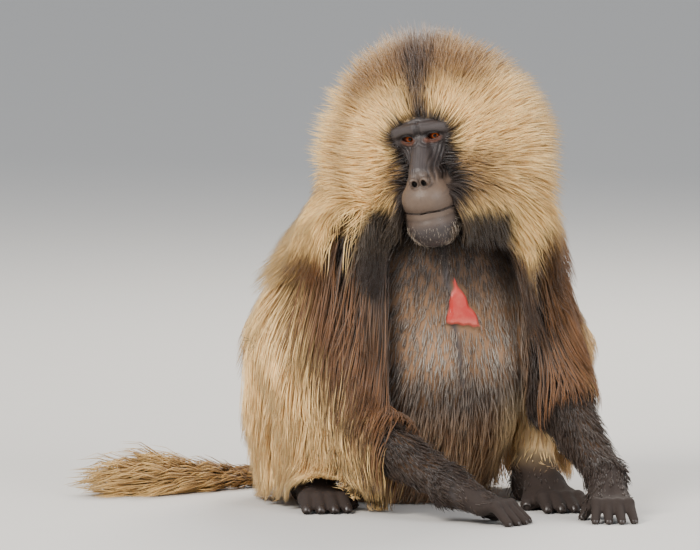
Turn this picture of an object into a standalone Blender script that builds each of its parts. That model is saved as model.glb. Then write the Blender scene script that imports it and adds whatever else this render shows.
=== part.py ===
"""A seated male gelada, life size, as a still museum model.

Metres, +Z up. The origin is the middle of the seat's flat on the floor. The face looks towards -Y, +X is the
animal's left, and the trunk is turned a little to its own left. Flesh is shaped as smooth blends of balls and
tapered bones, and long hair as flat tapered locks in tiers, fused to a core that lies over the skin.
"""

import math
import random

import bmesh
import bpy
import numpy as np
from mathutils import Matrix, Vector

# Stance
TRUNK_TURN = math.radians(20.0)
HEAD_TURN = math.radians(-13.5)
HEAD_TILT = math.radians(-9.5)
EYES_AT = np.array((-0.006, -0.135, 0.478))
GAP = 0.0003

# Trunk, in its own frame of left, front and up
SEAT = ((0.0, 0.0, 0.030), (0.075, 0.050, 0.034))
PELVIS = ((0.0, -0.035, 0.110), (0.116, 0.103, 0.106))
BELLY = ((0.0, 0.025, 0.175), (0.126, 0.116, 0.135))
CHEST = ((0.0, 0.020, 0.285), (0.116, 0.113, 0.112))
WITHERS = ((0.0, -0.050, 0.300), (0.100, 0.075, 0.115))
SHOULDER_HALF_SPAN = 0.080
SHOULDER_HEIGHT = 0.325
SHOULDER_RADIUS = 0.066
TRUNK_BLEND = 0.045

# Limbs: joints in the part's frame, with the radius of the furred limb at each
ARM_JOINTS = {
    "right": ((-0.098, -0.055, 0.318), (-0.090, -0.115, 0.110), (0.028, -0.252, 0.046)),
    "left": ((0.112, 0.012, 0.318), (0.168, -0.060, 0.142), (0.228, -0.187, 0.050)),
}
ARM_RADII = (0.050, 0.037, 0.023)
LEG_JOINTS = {
    "right": ((-0.096, 0.045, 0.090), (-0.176, -0.030, 0.188), (-0.148, -0.036, 0.042)),
    "left": ((0.045, 0.096, 0.090), (0.158, 0.052, 0.186), (0.140, -0.030, 0.042)),
}
LEG_RADII = (0.062, 0.046, 0.024)
HAND_HEADING = {"right": (0.88, -0.47), "left": (0.10, -0.99)}
FOOT_HEADING = {"right": (0.17, -0.98), "left": (0.30, -0.95)}
HAND_LENGTH = 0.108
FINGER_RADIUS = 0.0068
FINGER_SPREAD = 0.0145
FOOT_LENGTH = 0.168
TOE_RADIUS = 0.0085

# Head, in its own frame: x to its left, y backwards, z up, from the point between the eyes
EYE_HALF_SPAN = 0.0165
EYE_RADIUS = 0.0105
LID_RADIUS = 0.0126
EYE_OPENING = (0.0082, 0.0042)
BROW_HALF_WIDTH = 0.033
BROW_RADIUS = 0.0085
MUZZLE = ((0.0, -0.020, -0.076), (0.0325, 0.036, 0.026))
CHIN = ((0.0, -0.012, -0.110), (0.0295, 0.036, 0.030))
MOUTH_LEVEL = -0.093
MOUTH_DEPTH = 0.0038
NOSTRIL = ((0.0062, -0.0560, -0.0540), (0.0036, 0.0080, 0.0038))
EAR_AT = (0.060, 0.078, 0.004)
EAR_SIZE = (0.011, 0.018, 0.024)

# Mane: hair round the head, measured from a middle in the head's frame
MANE_CENTRE = np.array((-0.008, 0.072, -0.041))
MANE_REACH = np.array((0.163, 0.150, 0.171))
MANE_BACK_REACH = 0.185
MANE_RIM_SHARE = 0.56
MANE_RIM_ANGLE = 22.0
MANE_FULL_ANGLE = 88.0

# Long hair that hangs from each cheek in front of the shoulder, as middle and radii
CHEEK_HAIR = (((-0.096, -0.100, 0.330), (0.052, 0.048, 0.085)), ((0.128, -0.070, 0.335), (0.052, 0.050, 0.080)))

# Cape: hair from the shoulders and back, hanging round the trunk as a bell
CAPE_CENTRE = (-0.017, 0.025)
CAPE_HALF_SPANS = {"side": 0.238, "back": 0.215, "front": 0.195}
CAPE_PROFILE = ((0.00, 0.88), (0.05, 0.93), (0.10, 0.98), (0.16, 1.00), (0.21, 0.98), (0.26, 0.91),
                (0.30, 0.82), (0.34, 0.70), (0.38, 0.56), (0.42, 0.42), (0.50, 0.10))
CAPE_OPENING = (-0.052, 0.150)

# The core of a coat reaches this share of the way from the skin to the tips
CORE_SHARE = 0.42
UNDERCOAT_GAP = 0.0036
LEAST_COAT = 0.024

# Tail, lying on the floor
TAIL_ROUTE = ((-0.035, 0.110, 0.055), (-0.075, 0.165, 0.026), (-0.140, 0.180, 0.017), (-0.210, 0.160, 0.016),
              (-0.270, 0.120, 0.016), (-0.325, 0.088, 0.018), (-0.368, 0.070, 0.019))
TAIL_RADII = (0.024, 0.019, 0.017, 0.016, 0.0155, 0.016, 0.012)

# Bare skin on the chest
PATCH_APEX = (-0.008, 0.296)
PATCH_FOOT = ((-0.021, 0.240), (0.030, 0.232))
PATCH_DEPTH = 0.006

COLOURS = {
    "face_skin": ((0.060, 0.050, 0.047), 0.55),
    "hand_fur": ((0.028, 0.020, 0.015), 0.75),
    "trunk_fur": ((0.150, 0.115, 0.080), 0.85),
    "mane_hair": ((0.470, 0.330, 0.190), 0.70),
    "cape_hair": ((0.300, 0.190, 0.110), 0.70),
    "tail_hair": ((0.420, 0.300, 0.170), 0.75),
    "chest_skin": ((0.560, 0.090, 0.065), 0.50),
    "eye": ((0.220, 0.060, 0.018), 0.12),
}


# Frames

def turned(points):
    """World points as left, front and up of the trunk."""
    c, s = math.cos(TRUNK_TURN), math.sin(TRUNK_TURN)
    x, y = points[:, 0], points[:, 1]
    return np.stack((x * c + y * s, x * s - y * c, points[:, 2]), axis=1)


def from_trunk(left, front, up):
    c, s = math.cos(TRUNK_TURN), math.sin(TRUNK_TURN)
    return np.array((left * c + front * s, left * s - front * c, up))


HEAD_MATRIX = np.array(Matrix.Rotation(HEAD_TILT, 3, "Y") @ Matrix.Rotation(HEAD_TURN, 3, "Z"))


def to_head(points):
    return (points - EYES_AT) @ HEAD_MATRIX


def from_head(point):
    return EYES_AT + HEAD_MATRIX @ np.asarray(point, float)


# Distance fields

def ball(points, centre, radii):
    """Signed distance, near enough, to an ellipsoid."""
    away = points - np.asarray(centre)
    radii = np.asarray(radii)
    scaled = np.linalg.norm(away / radii, axis=1)
    steep = np.linalg.norm(away / radii**2, axis=1)
    return scaled * (scaled - 1.0) / np.maximum(steep, 1e-9)


def bone(points, start, end, start_radius, end_radius):
    """Signed distance to a tapered bone with round ends."""
    start, end = np.asarray(start, float), np.asarray(end, float)
    along = end - start
    t = np.clip((points - start) @ along / (along @ along), 0.0, 1.0)
    nearest = start + t[:, None] * along
    return np.linalg.norm(points - nearest, axis=1) - (start_radius + t * (end_radius - start_radius))


def blend(first, second, width):
    """Smooth union of two fields."""
    h = np.clip(0.5 + 0.5 * (second - first) / width, 0.0, 1.0)
    return second + (first - second) * h - width * h * (1.0 - h)


def overlap(first, second, width):
    """Smooth intersection of two fields."""
    return -blend(-first, -second, width)


def blend_all(fields, width):
    total = fields[0]
    for field in fields[1:]:
        total = blend(total, field, width)
    return total


def trunk_field(points):
    p = turned(points)
    half = SHOULDER_HALF_SPAN
    forms = [ball(p, *form) for form in (PELVIS, BELLY, CHEST, WITHERS, SEAT)]
    forms.append(bone(p, (-half, 0.0, SHOULDER_HEIGHT), (half, 0.0, SHOULDER_HEIGHT),
                      SHOULDER_RADIUS, SHOULDER_RADIUS))
    return blend_all(forms, TRUNK_BLEND)


def neck_field(points):
    base = from_trunk(0.0, 0.0, 0.345)
    return bone(points, base, from_head((0.0, 0.080, -0.030)), 0.070, 0.056)


def arm_field(points, side):
    shoulder, elbow, wrist = ARM_JOINTS[side]
    upper = bone(points, shoulder, elbow, ARM_RADII[0], ARM_RADII[1])
    lower = bone(points, elbow, wrist, ARM_RADII[1], ARM_RADII[2])
    return blend(upper, lower, 0.02)


def leg_field(points, side):
    hip, knee, ankle = LEG_JOINTS[side]
    thigh = bone(points, hip, knee, LEG_RADII[0], LEG_RADII[1])
    calf = np.asarray(knee) * 0.62 + np.asarray(ankle) * 0.38
    shank = blend(bone(points, knee, ankle, LEG_RADII[1] - 0.006, LEG_RADII[2]),
                  ball(points, calf, (0.036, 0.036, 0.050)), 0.02)
    return blend(thigh, shank, 0.008)


def paw_axes(heading):
    """Unit vectors along and across a hand or foot that points this way."""
    along = np.array((*heading, 0.0)) / np.linalg.norm(heading)
    return along, np.array((-along[1], along[0], 0.0))


def hand_field(points, side):
    """Palm, four fingers that curl down to the floor and a short thumb on the inner side."""
    wrist = np.array(ARM_JOINTS[side][2])
    along, across = paw_axes(HAND_HEADING[side])
    inner = 1.0 if side == "right" else -1.0
    knuckles = wrist + along * HAND_LENGTH * 0.50
    knuckles[2] = 0.023
    palm = blend(bone(points, wrist, knuckles + across * 0.013, 0.021, 0.0125),
                 bone(points, wrist, knuckles - across * 0.013, 0.021, 0.0125), 0.015)
    total = palm
    for finger in range(4):
        place = finger - 1.5
        reach = HAND_LENGTH * (0.47 - 0.035 * abs(place - 0.3))
        root = knuckles + across * place * FINGER_SPREAD * 0.78
        middle = root + along * reach * 0.52 + across * place * 0.0022 + np.array((0.0, 0.0, 0.001))
        tip = root + along * reach + across * place * 0.0050
        tip[2] = FINGER_RADIUS - 0.0022
        digit = blend(bone(points, root, middle, FINGER_RADIUS + 0.0016, FINGER_RADIUS),
                      bone(points, middle, tip, FINGER_RADIUS, FINGER_RADIUS * 0.80), 0.004)
        total = blend(total, digit, 0.009)
    thumb_root = wrist + along * HAND_LENGTH * 0.22 + across * inner * 0.018
    thumb_root[2] = 0.024
    thumb_tip = thumb_root + along * HAND_LENGTH * 0.24 + across * inner * 0.016
    thumb_tip[2] = FINGER_RADIUS - 0.0022
    return blend(total, bone(points, thumb_root, thumb_tip, 0.0100, FINGER_RADIUS * 0.85), 0.008)


def foot_field(points, side):
    """Heel, arched sole and five toes, the great toe set off on the inner side."""
    ankle = np.array(LEG_JOINTS[side][2])
    along, across = paw_axes(FOOT_HEADING[side])
    inner = 1.0 if side == "right" else -1.0
    heel = ankle - along * 0.022
    heel[2] = 0.0195
    instep = ankle + along * FOOT_LENGTH * 0.30
    instep[2] = 0.024
    ball_of_foot = ankle + along * FOOT_LENGTH * 0.52
    ball_of_foot[2] = 0.0145
    total = blend(bone(points, ankle, heel, 0.024, 0.0225), bone(points, ankle, instep, 0.024, 0.021), 0.015)
    for shift in (-0.012, 0.012):
        total = blend(total, bone(points, instep, ball_of_foot + across * shift, 0.021, 0.0155), 0.012)
    for toe in range(4):
        place = toe - 1.5
        reach = FOOT_LENGTH * (0.33 - 0.020 * abs(place))
        root = ball_of_foot + across * place * 0.0135 - along * 0.004
        middle = root + along * reach * 0.5 + across * place * 0.002 + np.array((0.0, 0.0, 0.003))
        tip = root + along * reach + across * place * 0.004
        tip[2] = TOE_RADIUS - 0.0025
        digit = blend(bone(points, root, middle, TOE_RADIUS + 0.001, TOE_RADIUS),
                      bone(points, middle, tip, TOE_RADIUS, TOE_RADIUS * 0.82), 0.004)
        total = blend(total, digit, 0.006)
    great_root = ankle + along * FOOT_LENGTH * 0.26 + across * inner * 0.016
    great_root[2] = 0.017
    great_tip = great_root + along * FOOT_LENGTH * 0.27 + across * inner * 0.022
    great_tip[2] = 0.0075
    return blend(total, bone(points, great_root, great_tip, 0.0125, 0.0098), 0.008)


def whole_arm_field(points, side):
    return blend(arm_field(points, side), hand_field(points, side), 0.010)


def whole_leg_field(points, side):
    return blend(leg_field(points, side), foot_field(points, side), 0.012)


def head_field(points):
    """Skull, heavy brow, hollow-sided bridge, deep muzzle and jaw, with the line of the mouth pressed in."""
    p = to_head(points)
    side = np.abs(p[:, 0])
    m = np.stack((side, p[:, 1], p[:, 2]), axis=1)
    skull = blend(ball(p, (0.0, 0.066, 0.016), (0.056, 0.066, 0.048)),
                  ball(p, (0.0, 0.090, -0.024), (0.052, 0.050, 0.050)), 0.03)
    face = ball(p, (0.0, 0.026, -0.010), (0.041, 0.025, 0.027))
    brow = bone(m, (0.004, -0.0095, 0.0125), (BROW_HALF_WIDTH, 0.002, 0.0095), BROW_RADIUS, BROW_RADIUS)
    cheekbone = bone(m, (0.034, 0.010, -0.004), (0.036, 0.030, -0.016), 0.0085, 0.012)
    bridge = bone(p, (0.0, 0.003, 0.002), (0.0, -0.034, -0.044), 0.0095, 0.0155)
    flank = bone(m, (0.0125, 0.008, -0.018), (0.0110, -0.020, -0.054), 0.0090, 0.0130)
    muzzle = ball(p, *MUZZLE)
    chin = ball(p, *CHIN)
    jowl = bone(m, (0.010, 0.0, -0.088), (0.026, 0.055, -0.062), 0.028, 0.030)
    jaw = bone(m, (0.012, -0.004, -0.112), (0.034, 0.062, -0.072), 0.021, 0.020)
    cheek = bone(m, (0.010, 0.012, -0.030), (0.030, 0.045, -0.040), 0.018, 0.022)
    total = blend(skull, face, 0.014)
    total = blend(total, brow, 0.008)
    total = blend(total, cheekbone, 0.008)
    total = blend(total, bridge, 0.008)
    total = blend(total, flank, 0.010)
    total = blend(total, cheek, 0.012)
    snout = blend_all((muzzle, jowl, chin, jaw), 0.010)
    total = blend(total, snout, 0.010)
    lids = ball(m, (EYE_HALF_SPAN, EYE_RADIUS, 0.0), (LID_RADIUS,) * 3)
    total = blend(total, lids, 0.003)
    wing = ball(m, (0.0078, -0.0475, -0.0510), (0.0072, 0.0070, 0.0065))
    total = blend(total, wing, 0.005)
    lips = np.exp(-(((p[:, 2] - MOUTH_LEVEL) / 0.0026) ** 2)) * (p[:, 1] < 0.004)
    return total + MOUTH_DEPTH * lips


def tail_field(points):
    fields = [bone(points, TAIL_ROUTE[i], TAIL_ROUTE[i + 1], TAIL_RADII[i], TAIL_RADII[i + 1])
              for i in range(len(TAIL_ROUTE) - 1)]
    return blend_all(fields, 0.006)


# Meshes from fields

def surface_net(values, low, step):
    """Points and quads of the surface where a grid of distances crosses zero."""
    cells = tuple(n - 1 for n in values.shape)
    total, count = np.zeros((*cells, 3)), np.zeros(cells)
    crossings = []
    for axis in range(3):
        ahead = [slice(None)] * 3
        behind = [slice(None)] * 3
        ahead[axis], behind[axis] = slice(1, None), slice(None, -1)
        near, far = values[tuple(behind)], values[tuple(ahead)]
        where = np.argwhere((near < 0) != (far < 0))
        index = tuple(where.T)
        place = where.astype(float)
        place[:, axis] += near[index] / (near[index] - far[index])
        crossings.append((axis, where, near[index] < 0))
        others = [a for a in range(3) if a != axis]
        for first in (0, 1):
            for second in (0, 1):
                cell = where.copy()
                cell[:, others[0]] -= first
                cell[:, others[1]] -= second
                inside = ((cell >= 0) & (cell < cells)).all(axis=1)
                key = tuple(cell[inside].T)
                np.add.at(total, key, place[inside])
                np.add.at(count, key, 1.0)
    used = np.argwhere(count > 0)
    numbers = np.full(cells, -1)
    numbers[tuple(used.T)] = np.arange(len(used))
    points = low + step * total[tuple(used.T)] / count[tuple(used.T)][:, None]
    faces = []
    for axis, where, starts_inside in crossings:
        b, c = (axis + 1) % 3, (axis + 2) % 3
        corners = []
        for db, dc in ((0, 0), (-1, 0), (-1, -1), (0, -1)):
            cell = where.copy()
            cell[:, b] += db
            cell[:, c] += dc
            corners.append(numbers[tuple(cell.T)])
        quads = np.stack(corners, axis=1)
        quads[~starts_inside] = quads[~starts_inside][:, ::-1]
        faces.append(quads)
    return points, np.concatenate(faces)


def new_object(name, points, faces):
    mesh = bpy.data.meshes.new(name)
    mesh.from_pydata([tuple(p) for p in points], [], [tuple(int(i) for i in f) for f in faces])
    mesh.validate()
    obj = bpy.data.objects.new(name, mesh)
    bpy.context.scene.collection.objects.link(obj)
    return obj


def settle(obj):
    """Applies an object's modifiers."""
    graph = bpy.context.evaluated_depsgraph_get()
    mesh = bpy.data.meshes.new_from_object(obj.evaluated_get(graph))
    old = obj.data
    obj.modifiers.clear()
    obj.data = mesh
    bpy.data.meshes.remove(old)
    return obj


def thin_out(obj, triangles, keep=None):
    """Collapses a mesh to about so many triangles. keep gives each point's need of detail, from 0 to 1."""
    modifier = obj.modifiers.new("thin", "DECIMATE")
    modifier.ratio = min(1.0, triangles / len(obj.data.polygons))
    modifier.use_collapse_triangulate = True
    if keep is not None:
        group = obj.vertex_groups.new(name="detail")
        points = np.array([v.co for v in obj.data.vertices])
        for number, need in enumerate(keep(points)):
            group.add([number], float(1.0 - need), "REPLACE")
        modifier.vertex_group = group.name
        modifier.vertex_group_factor = 1.0
    settle(obj)
    obj.vertex_groups.clear()
    return obj


def fans_round(vertex):
    """Groups of a point's faces that are joined by edges of two faces each."""
    left = set(vertex.link_faces)
    fans = []
    while left:
        stack, fan = [left.pop()], []
        while stack:
            face = stack.pop()
            fan.append(face)
            for edge in face.edges:
                if vertex in edge.verts and len(edge.link_faces) == 2:
                    for other in edge.link_faces:
                        if other in left:
                            left.remove(other)
                            stack.append(other)
        fans.append(fan)
    return fans


def part_touching_walls(obj, nudge):
    """Gives walls that touch along an edge their own points there, drawn a little back from each other."""
    bm = bmesh.new()
    bm.from_mesh(obj.data)
    bm.normal_update()
    bm.verts.index_update()
    bm.faces.index_update()
    points = [v.co.copy() for v in bm.verts]
    faces = [[v.index for v in f.verts] for f in bm.faces]
    touching = {v.index for e in bm.edges if len(e.link_faces) > 2 for v in e.verts}
    bm.verts.ensure_lookup_table()
    for index in sorted(touching):
        fans = fans_round(bm.verts[index])
        for number, fan in enumerate(fans):
            normal = sum((f.normal for f in fan), Vector()).normalized()
            place = bm.verts[index].co - normal * nudge
            if number == 0:
                points[index] = place
                continue
            points.append(place)
            for face in fan:
                corners = faces[face.index]
                corners[corners.index(index)] = len(points) - 1
    bm.free()
    if not touching:
        return obj
    name = obj.name
    bpy.data.objects.remove(obj)
    return new_object(name, points, faces)


def is_closed(obj):
    bm = bmesh.new()
    bm.from_mesh(obj.data)
    closed = all(len(edge.link_faces) == 2 for edge in bm.edges)
    bm.free()
    return closed


def carve(name, field, low, high, step, triangles, keep=None):
    """The closed mesh of a field within a box. The grid is moved a little where two walls touch in it."""
    low, high = np.asarray(low, float), np.asarray(high, float)
    for shift in np.linspace(0.0, 0.9, 7):
        axes = [np.arange(a - shift * step, b + step, step) for a, b in zip(low, high)]
        grid = np.stack(np.meshgrid(*axes, indexing="ij"), axis=-1)
        values = field(grid.reshape(-1, 3)).reshape(grid.shape[:3])
        for axis in range(3):
            for end in (0, -1):
                rim = [slice(None)] * 3
                rim[axis] = end
                values[tuple(rim)] = np.maximum(values[tuple(rim)], step)
        points, faces = surface_net(values, low - shift * step, step)
        obj = part_touching_walls(new_object(name, points, faces), step * 0.05)
        obj = thin_out(largest_shell(obj), triangles, keep)
        if is_closed(obj):
            return obj
        bpy.data.objects.remove(obj)
    raise ValueError(f"{name} has walls that touch")


WELDS = (0.0001, 0.00002, 0.000002, 0.0)


def shells_of(bm):
    """Groups of faces that are joined by edges of two faces each, the largest last."""
    left = set(bm.faces)
    shells = []
    while left:
        stack, shell = [left.pop()], []
        while stack:
            face = stack.pop()
            shell.append(face)
            for edge in face.edges:
                if len(edge.link_faces) == 2:
                    for other in edge.link_faces:
                        if other in left:
                            left.remove(other)
                            stack.append(other)
        shells.append(shell)
    return sorted(shells, key=lambda faces: sum(f.calc_center_median().dot(f.normal) * f.calc_area() for f in faces))


def largest_shell(obj):
    """Keeps only the largest closed surface of a mesh, as triangles, with slivers welded where that keeps it closed."""
    for weld in WELDS:
        bm = bmesh.new()
        bm.from_mesh(obj.data)
        if weld:
            bmesh.ops.remove_doubles(bm, verts=bm.verts, dist=weld)
            bmesh.ops.dissolve_degenerate(bm, dist=weld / 4.0, edges=bm.edges)
        bmesh.ops.triangulate(bm, faces=bm.faces)
        bm.normal_update()
        drop = [face for shell in shells_of(bm)[:-1] for face in shell]
        bmesh.ops.delete(bm, geom=drop, context="FACES")
        closed = all(len(edge.link_faces) == 2 for edge in bm.edges)
        if closed or not weld:
            bm.to_mesh(obj.data)
            bm.free()
            return obj
        bm.free()


def combine(obj, others, operation):
    """Joins or cuts obj by other closed meshes, which are then removed. MANIFOLD, as EXACT is slow on locks."""
    collection = bpy.data.collections.new("pieces")
    bpy.context.scene.collection.children.link(collection)
    for other in others:
        bpy.context.scene.collection.objects.unlink(other)
        collection.objects.link(other)
    modifier = obj.modifiers.new("combine", "BOOLEAN")
    modifier.operation = operation
    modifier.operand_type = "COLLECTION"
    modifier.collection = collection
    modifier.solver = "MANIFOLD"
    settle(obj)
    for other in others:
        bpy.data.objects.remove(other)
    bpy.data.collections.remove(collection)
    return largest_shell(obj)


def grown(obj, by=GAP):
    """A copy of a mesh whose faces all lie further out."""
    copy = bpy.data.objects.new(obj.name + "_grown", obj.data.copy())
    bpy.context.scene.collection.objects.link(copy)
    bm = bmesh.new()
    bm.from_mesh(copy.data)
    bm.normal_update()
    moves = [v.normal * by * min(v.calc_shell_factor(), 2.0) for v in bm.verts]
    for vertex, move in zip(bm.verts, moves):
        vertex.co += move
    bm.to_mesh(copy.data)
    bm.free()
    return copy


def cut_clear(obj, *others, gap=GAP):
    """Cuts an object so that a gap is left to each of the others."""
    return combine(obj, [grown(other, gap) for other in others], "DIFFERENCE")


def slab(point, normal, size=1.2):
    """A block whose face passes through a point, and which fills the side that the normal points to."""
    normal = Vector(normal).normalized()
    bm = bmesh.new()
    bmesh.ops.create_cube(bm, size=size)
    turn = normal.to_track_quat("Z", "Y").to_matrix().to_4x4()
    place = Matrix.Translation(Vector(point) + normal * size / 2.0)
    bmesh.ops.transform(bm, matrix=place @ turn, verts=bm.verts)
    mesh = bpy.data.meshes.new("slab")
    bm.to_mesh(mesh)
    bm.free()
    obj = bpy.data.objects.new("slab", mesh)
    bpy.context.scene.collection.objects.link(obj)
    return obj


def trim(obj, point, normal):
    """Removes what lies on the side of a plane that its normal points to."""
    return combine(obj, [slab(point, normal)], "DIFFERENCE")


def rest_on_floor(obj):
    return trim(obj, (0.0, 0.0, 0.0), (0.0, 0.0, -1.0))


def copy_of(obj, name):
    copy = bpy.data.objects.new(name, obj.data.copy())
    bpy.context.scene.collection.objects.link(copy)
    return copy


def part_at(obj, point, normal, near_name, far_name):
    """Parts a mesh in two by a thin cut across a plane. The far piece is on the side of the normal."""
    point, normal = Vector(point), Vector(normal).normalized()
    far = trim(copy_of(obj, far_name), point + normal * GAP / 2.0, -normal)
    near = trim(copy_of(obj, near_name), point - normal * GAP / 2.0, normal)
    bpy.data.objects.remove(obj)
    return near, far


def box_round(places, margin):
    places = np.asarray(places, float)
    return places.min(axis=0) - margin, places.max(axis=0) + margin


# The coat

def mane_reach_field(points):
    """Distance, near enough, to the surface that the mane's tips reach."""
    away = to_head(points) - MANE_CENTRE
    reach = np.tile(MANE_REACH, (len(points), 1))
    reach[away[:, 1] > 0.0, 1] = MANE_BACK_REACH
    scaled = away / reach
    far = np.maximum(np.linalg.norm(scaled, axis=1), 1e-6)
    angle = np.degrees(np.arccos(np.clip(-scaled[:, 1] / far, -1.0, 1.0)))
    t = np.clip((angle - MANE_RIM_ANGLE) / (MANE_FULL_ANGLE - MANE_RIM_ANGLE), 0.0, 1.0)
    share = MANE_RIM_SHARE + (1.0 - MANE_RIM_SHARE) * t * t * (3.0 - 2.0 * t)
    return (far - share) * MANE_REACH[0]


def cape_radius(turn, height):
    """How far the cape's hair reaches from its middle, at a turn in radians from the trunk's front to its left."""
    heights, shares = zip(*CAPE_PROFILE)
    share = np.interp(height, heights, shares)
    deep = np.where(np.cos(turn) < 0.0, CAPE_HALF_SPANS["back"], CAPE_HALF_SPANS["front"])
    return share / np.hypot(np.sin(turn) / CAPE_HALF_SPANS["side"], np.cos(turn) / deep)


def cape_reach_field(points):
    """Distance, near enough, to the surface that the cape's tips reach."""
    p = turned(points - np.array((*CAPE_CENTRE, 0.0)))
    turn = np.arctan2(p[:, 0], p[:, 1])
    return (np.hypot(p[:, 0], p[:, 1]) - cape_radius(turn, p[:, 2])) * 0.92


def reach_field(points):
    """The surface that the tips of all the long hair reach."""
    total = blend(mane_reach_field(points), cape_reach_field(points), 0.05)
    for form in CHEEK_HAIR:
        total = blend(total, ball(points, *form), 0.03)
    return total


def flesh_field(points):
    """Everything that long hair grows on or lies over, with its creases filled."""
    total = blend(blend(head_field(points), neck_field(points), 0.02), trunk_field(points), 0.03)
    for side in ("right", "left"):
        for limb in (arm_field, leg_field, foot_field):
            total = blend(total, limb(points, side), 0.035)
    return total


def coat_layer(points, share):
    """Signed distance to the surface at this share of the way from the skin to the tips."""
    flesh = flesh_field(points)
    thick = np.maximum(flesh - reach_field(points), LEAST_COAT)
    return flesh - share * thick


def coat_slope(points):
    """Unit vectors out of the coat."""
    step = 0.002
    slope = np.stack([coat_layer(points + step * axis, 0.5) - coat_layer(points - step * axis, 0.5)
                      for axis in np.eye(3)], axis=1)
    return slope / np.maximum(np.linalg.norm(slope, axis=1), 1e-9)[:, None]


def lie_of_coat(points):
    """The way that long hair lies: away from the face round the head, and down over the body."""
    p = to_head(points) - np.array((0.0, -0.010, -0.040))
    from_face = np.stack((p[:, 0], 0.55 * np.abs(p[:, 1]) + 0.020, p[:, 2]), axis=1)
    from_face /= np.linalg.norm(from_face, axis=1)[:, None]
    mane = from_face @ HEAD_MATRIX.T
    back = np.clip((p[:, 1] - 0.050) / 0.080, 0.0, 1.0)
    low = np.clip(-(p[:, 2] + 0.015) / 0.080, 0.0, 1.0)
    mane[:, 2] -= 0.05 + 0.9 * back + 0.9 * low
    middle = points - np.array((*CAPE_CENTRE, 0.0))
    middle[:, 2] = 0.0
    cape = 0.18 * middle / np.maximum(np.linalg.norm(middle, axis=1), 1e-9)[:, None]
    cape[:, 2] = -1.0
    weight = np.clip((points[:, 2] - 0.345) / 0.075, 0.0, 1.0)[:, None]
    lie = weight * mane + (1.0 - weight) * cape
    return lie / np.linalg.norm(lie, axis=1)[:, None]


def skin_along(origins, ways, reach=0.30):
    """Where rays from inside the body last leave the skin."""
    distances = np.linspace(0.0, reach, 61)
    places = origins + ways * distances[:, None, None]
    inside = flesh_field(places.reshape(-1, 3)).reshape(places.shape[:2]) < 0.0
    last = distances[len(distances) - 1 - np.argmax(inside[::-1], axis=0)]
    return origins + ways * (last + 0.5 * (distances[1] - distances[0]))[:, None]


# Locks

LOCK_STEPS = 12
LOCK_RINGS = (0, 4, 8, 12)
LONG_LOCK_RINGS = (0, 3, 6, 9, 12)
LOCK_WIDTHS = (0.60, 1.00, 0.76)
LONG_LOCK_WIDTHS = (0.50, 0.85, 1.00, 0.66)
LOCK_ROOT_SHARE = 0.20


def lay_locks(roots, travel, widths, depth, tips, rings=LOCK_RINGS, shape=LOCK_WIDTHS):
    """Flat tapered locks that run from their roots along the lie of the coat, rising from the core to the tips."""
    points = roots.copy()
    track, outs = [], []
    for step in range(LOCK_STEPS + 1):
        s = step / LOCK_STEPS
        if step:
            points = points + lie_of_coat(points) * (travel / LOCK_STEPS)[:, None]
        share = LOCK_ROOT_SHARE + (tips - LOCK_ROOT_SHARE) * s**0.85
        for _ in range(2):
            out = coat_slope(points)
            thick = np.maximum(flesh_field(points) - reach_field(points), LEAST_COAT)
            miss = flesh_field(points) - share * thick
            points = points - out * miss[:, None] * 0.9
        points[:, 2] = np.maximum(points[:, 2], depth)
        track.append(points)
        outs.append(out)
    made = []
    for number in range(len(roots)):
        path = np.array([track[ring][number] for ring in rings])
        facing = np.array([outs[ring][number] for ring in rings])
        made.append(lock(path, facing, widths[number], depth, shape))
    return made


def lock(path, facing, width, depth, shape):
    """One lock, four-sided, with a point at its tip. facing gives the way its broad face looks at each ring."""
    points, faces = [], []
    rings = len(path) - 1
    for ring in range(rings):
        ahead = path[ring + 1] - path[max(ring - 1, 0)]
        across = np.cross(ahead, facing[ring])
        across /= np.linalg.norm(across)
        up = np.cross(across, ahead)
        up /= np.linalg.norm(up)
        deep = depth * (1.0 - 0.5 * ring / rings)
        for side, lift in ((0.5, 0.0), (0.0, 0.5), (-0.5, 0.0), (0.0, -0.5)):
            points.append(path[ring] + across * width * shape[ring] * side + up * deep * lift)
    for ring in range(rings - 1):
        for k in range(4):
            a, b = ring * 4 + k, ring * 4 + (k + 1) % 4
            faces += [(a, b, b + 4), (a, b + 4, a + 4)]
    points.append(path[-1])
    last = (rings - 1) * 4
    faces += [(last + k, last + (k + 1) % 4, len(points) - 1) for k in range(4)]
    faces += [(0, 3, 2), (0, 2, 1)]
    obj = new_object("lock", points, faces)
    bm = bmesh.new()
    bm.from_mesh(obj.data)
    bmesh.ops.recalc_face_normals(bm, faces=bm.faces)
    bm.to_mesh(obj.data)
    bm.free()
    return obj


# Tiers of the mane: angle from the way the face looks, travel along the lie, share of the coat at the tips
MANE_TIERS = ((38.0, 0.060, 0.80), (54.0, 0.068, 0.96), (71.0, 0.075, 1.00), (90.0, 0.085, 1.00))
MANE_SPACING = 0.0355
MANE_LOWEST_TURN = 142.0
CROWN_EDGE_TURN = 46.0
NAPE_TIERS = ((116.0, 0.120, 1.00), (142.0, 0.130, 1.00))
NAPE_SPACING = 0.040


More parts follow.
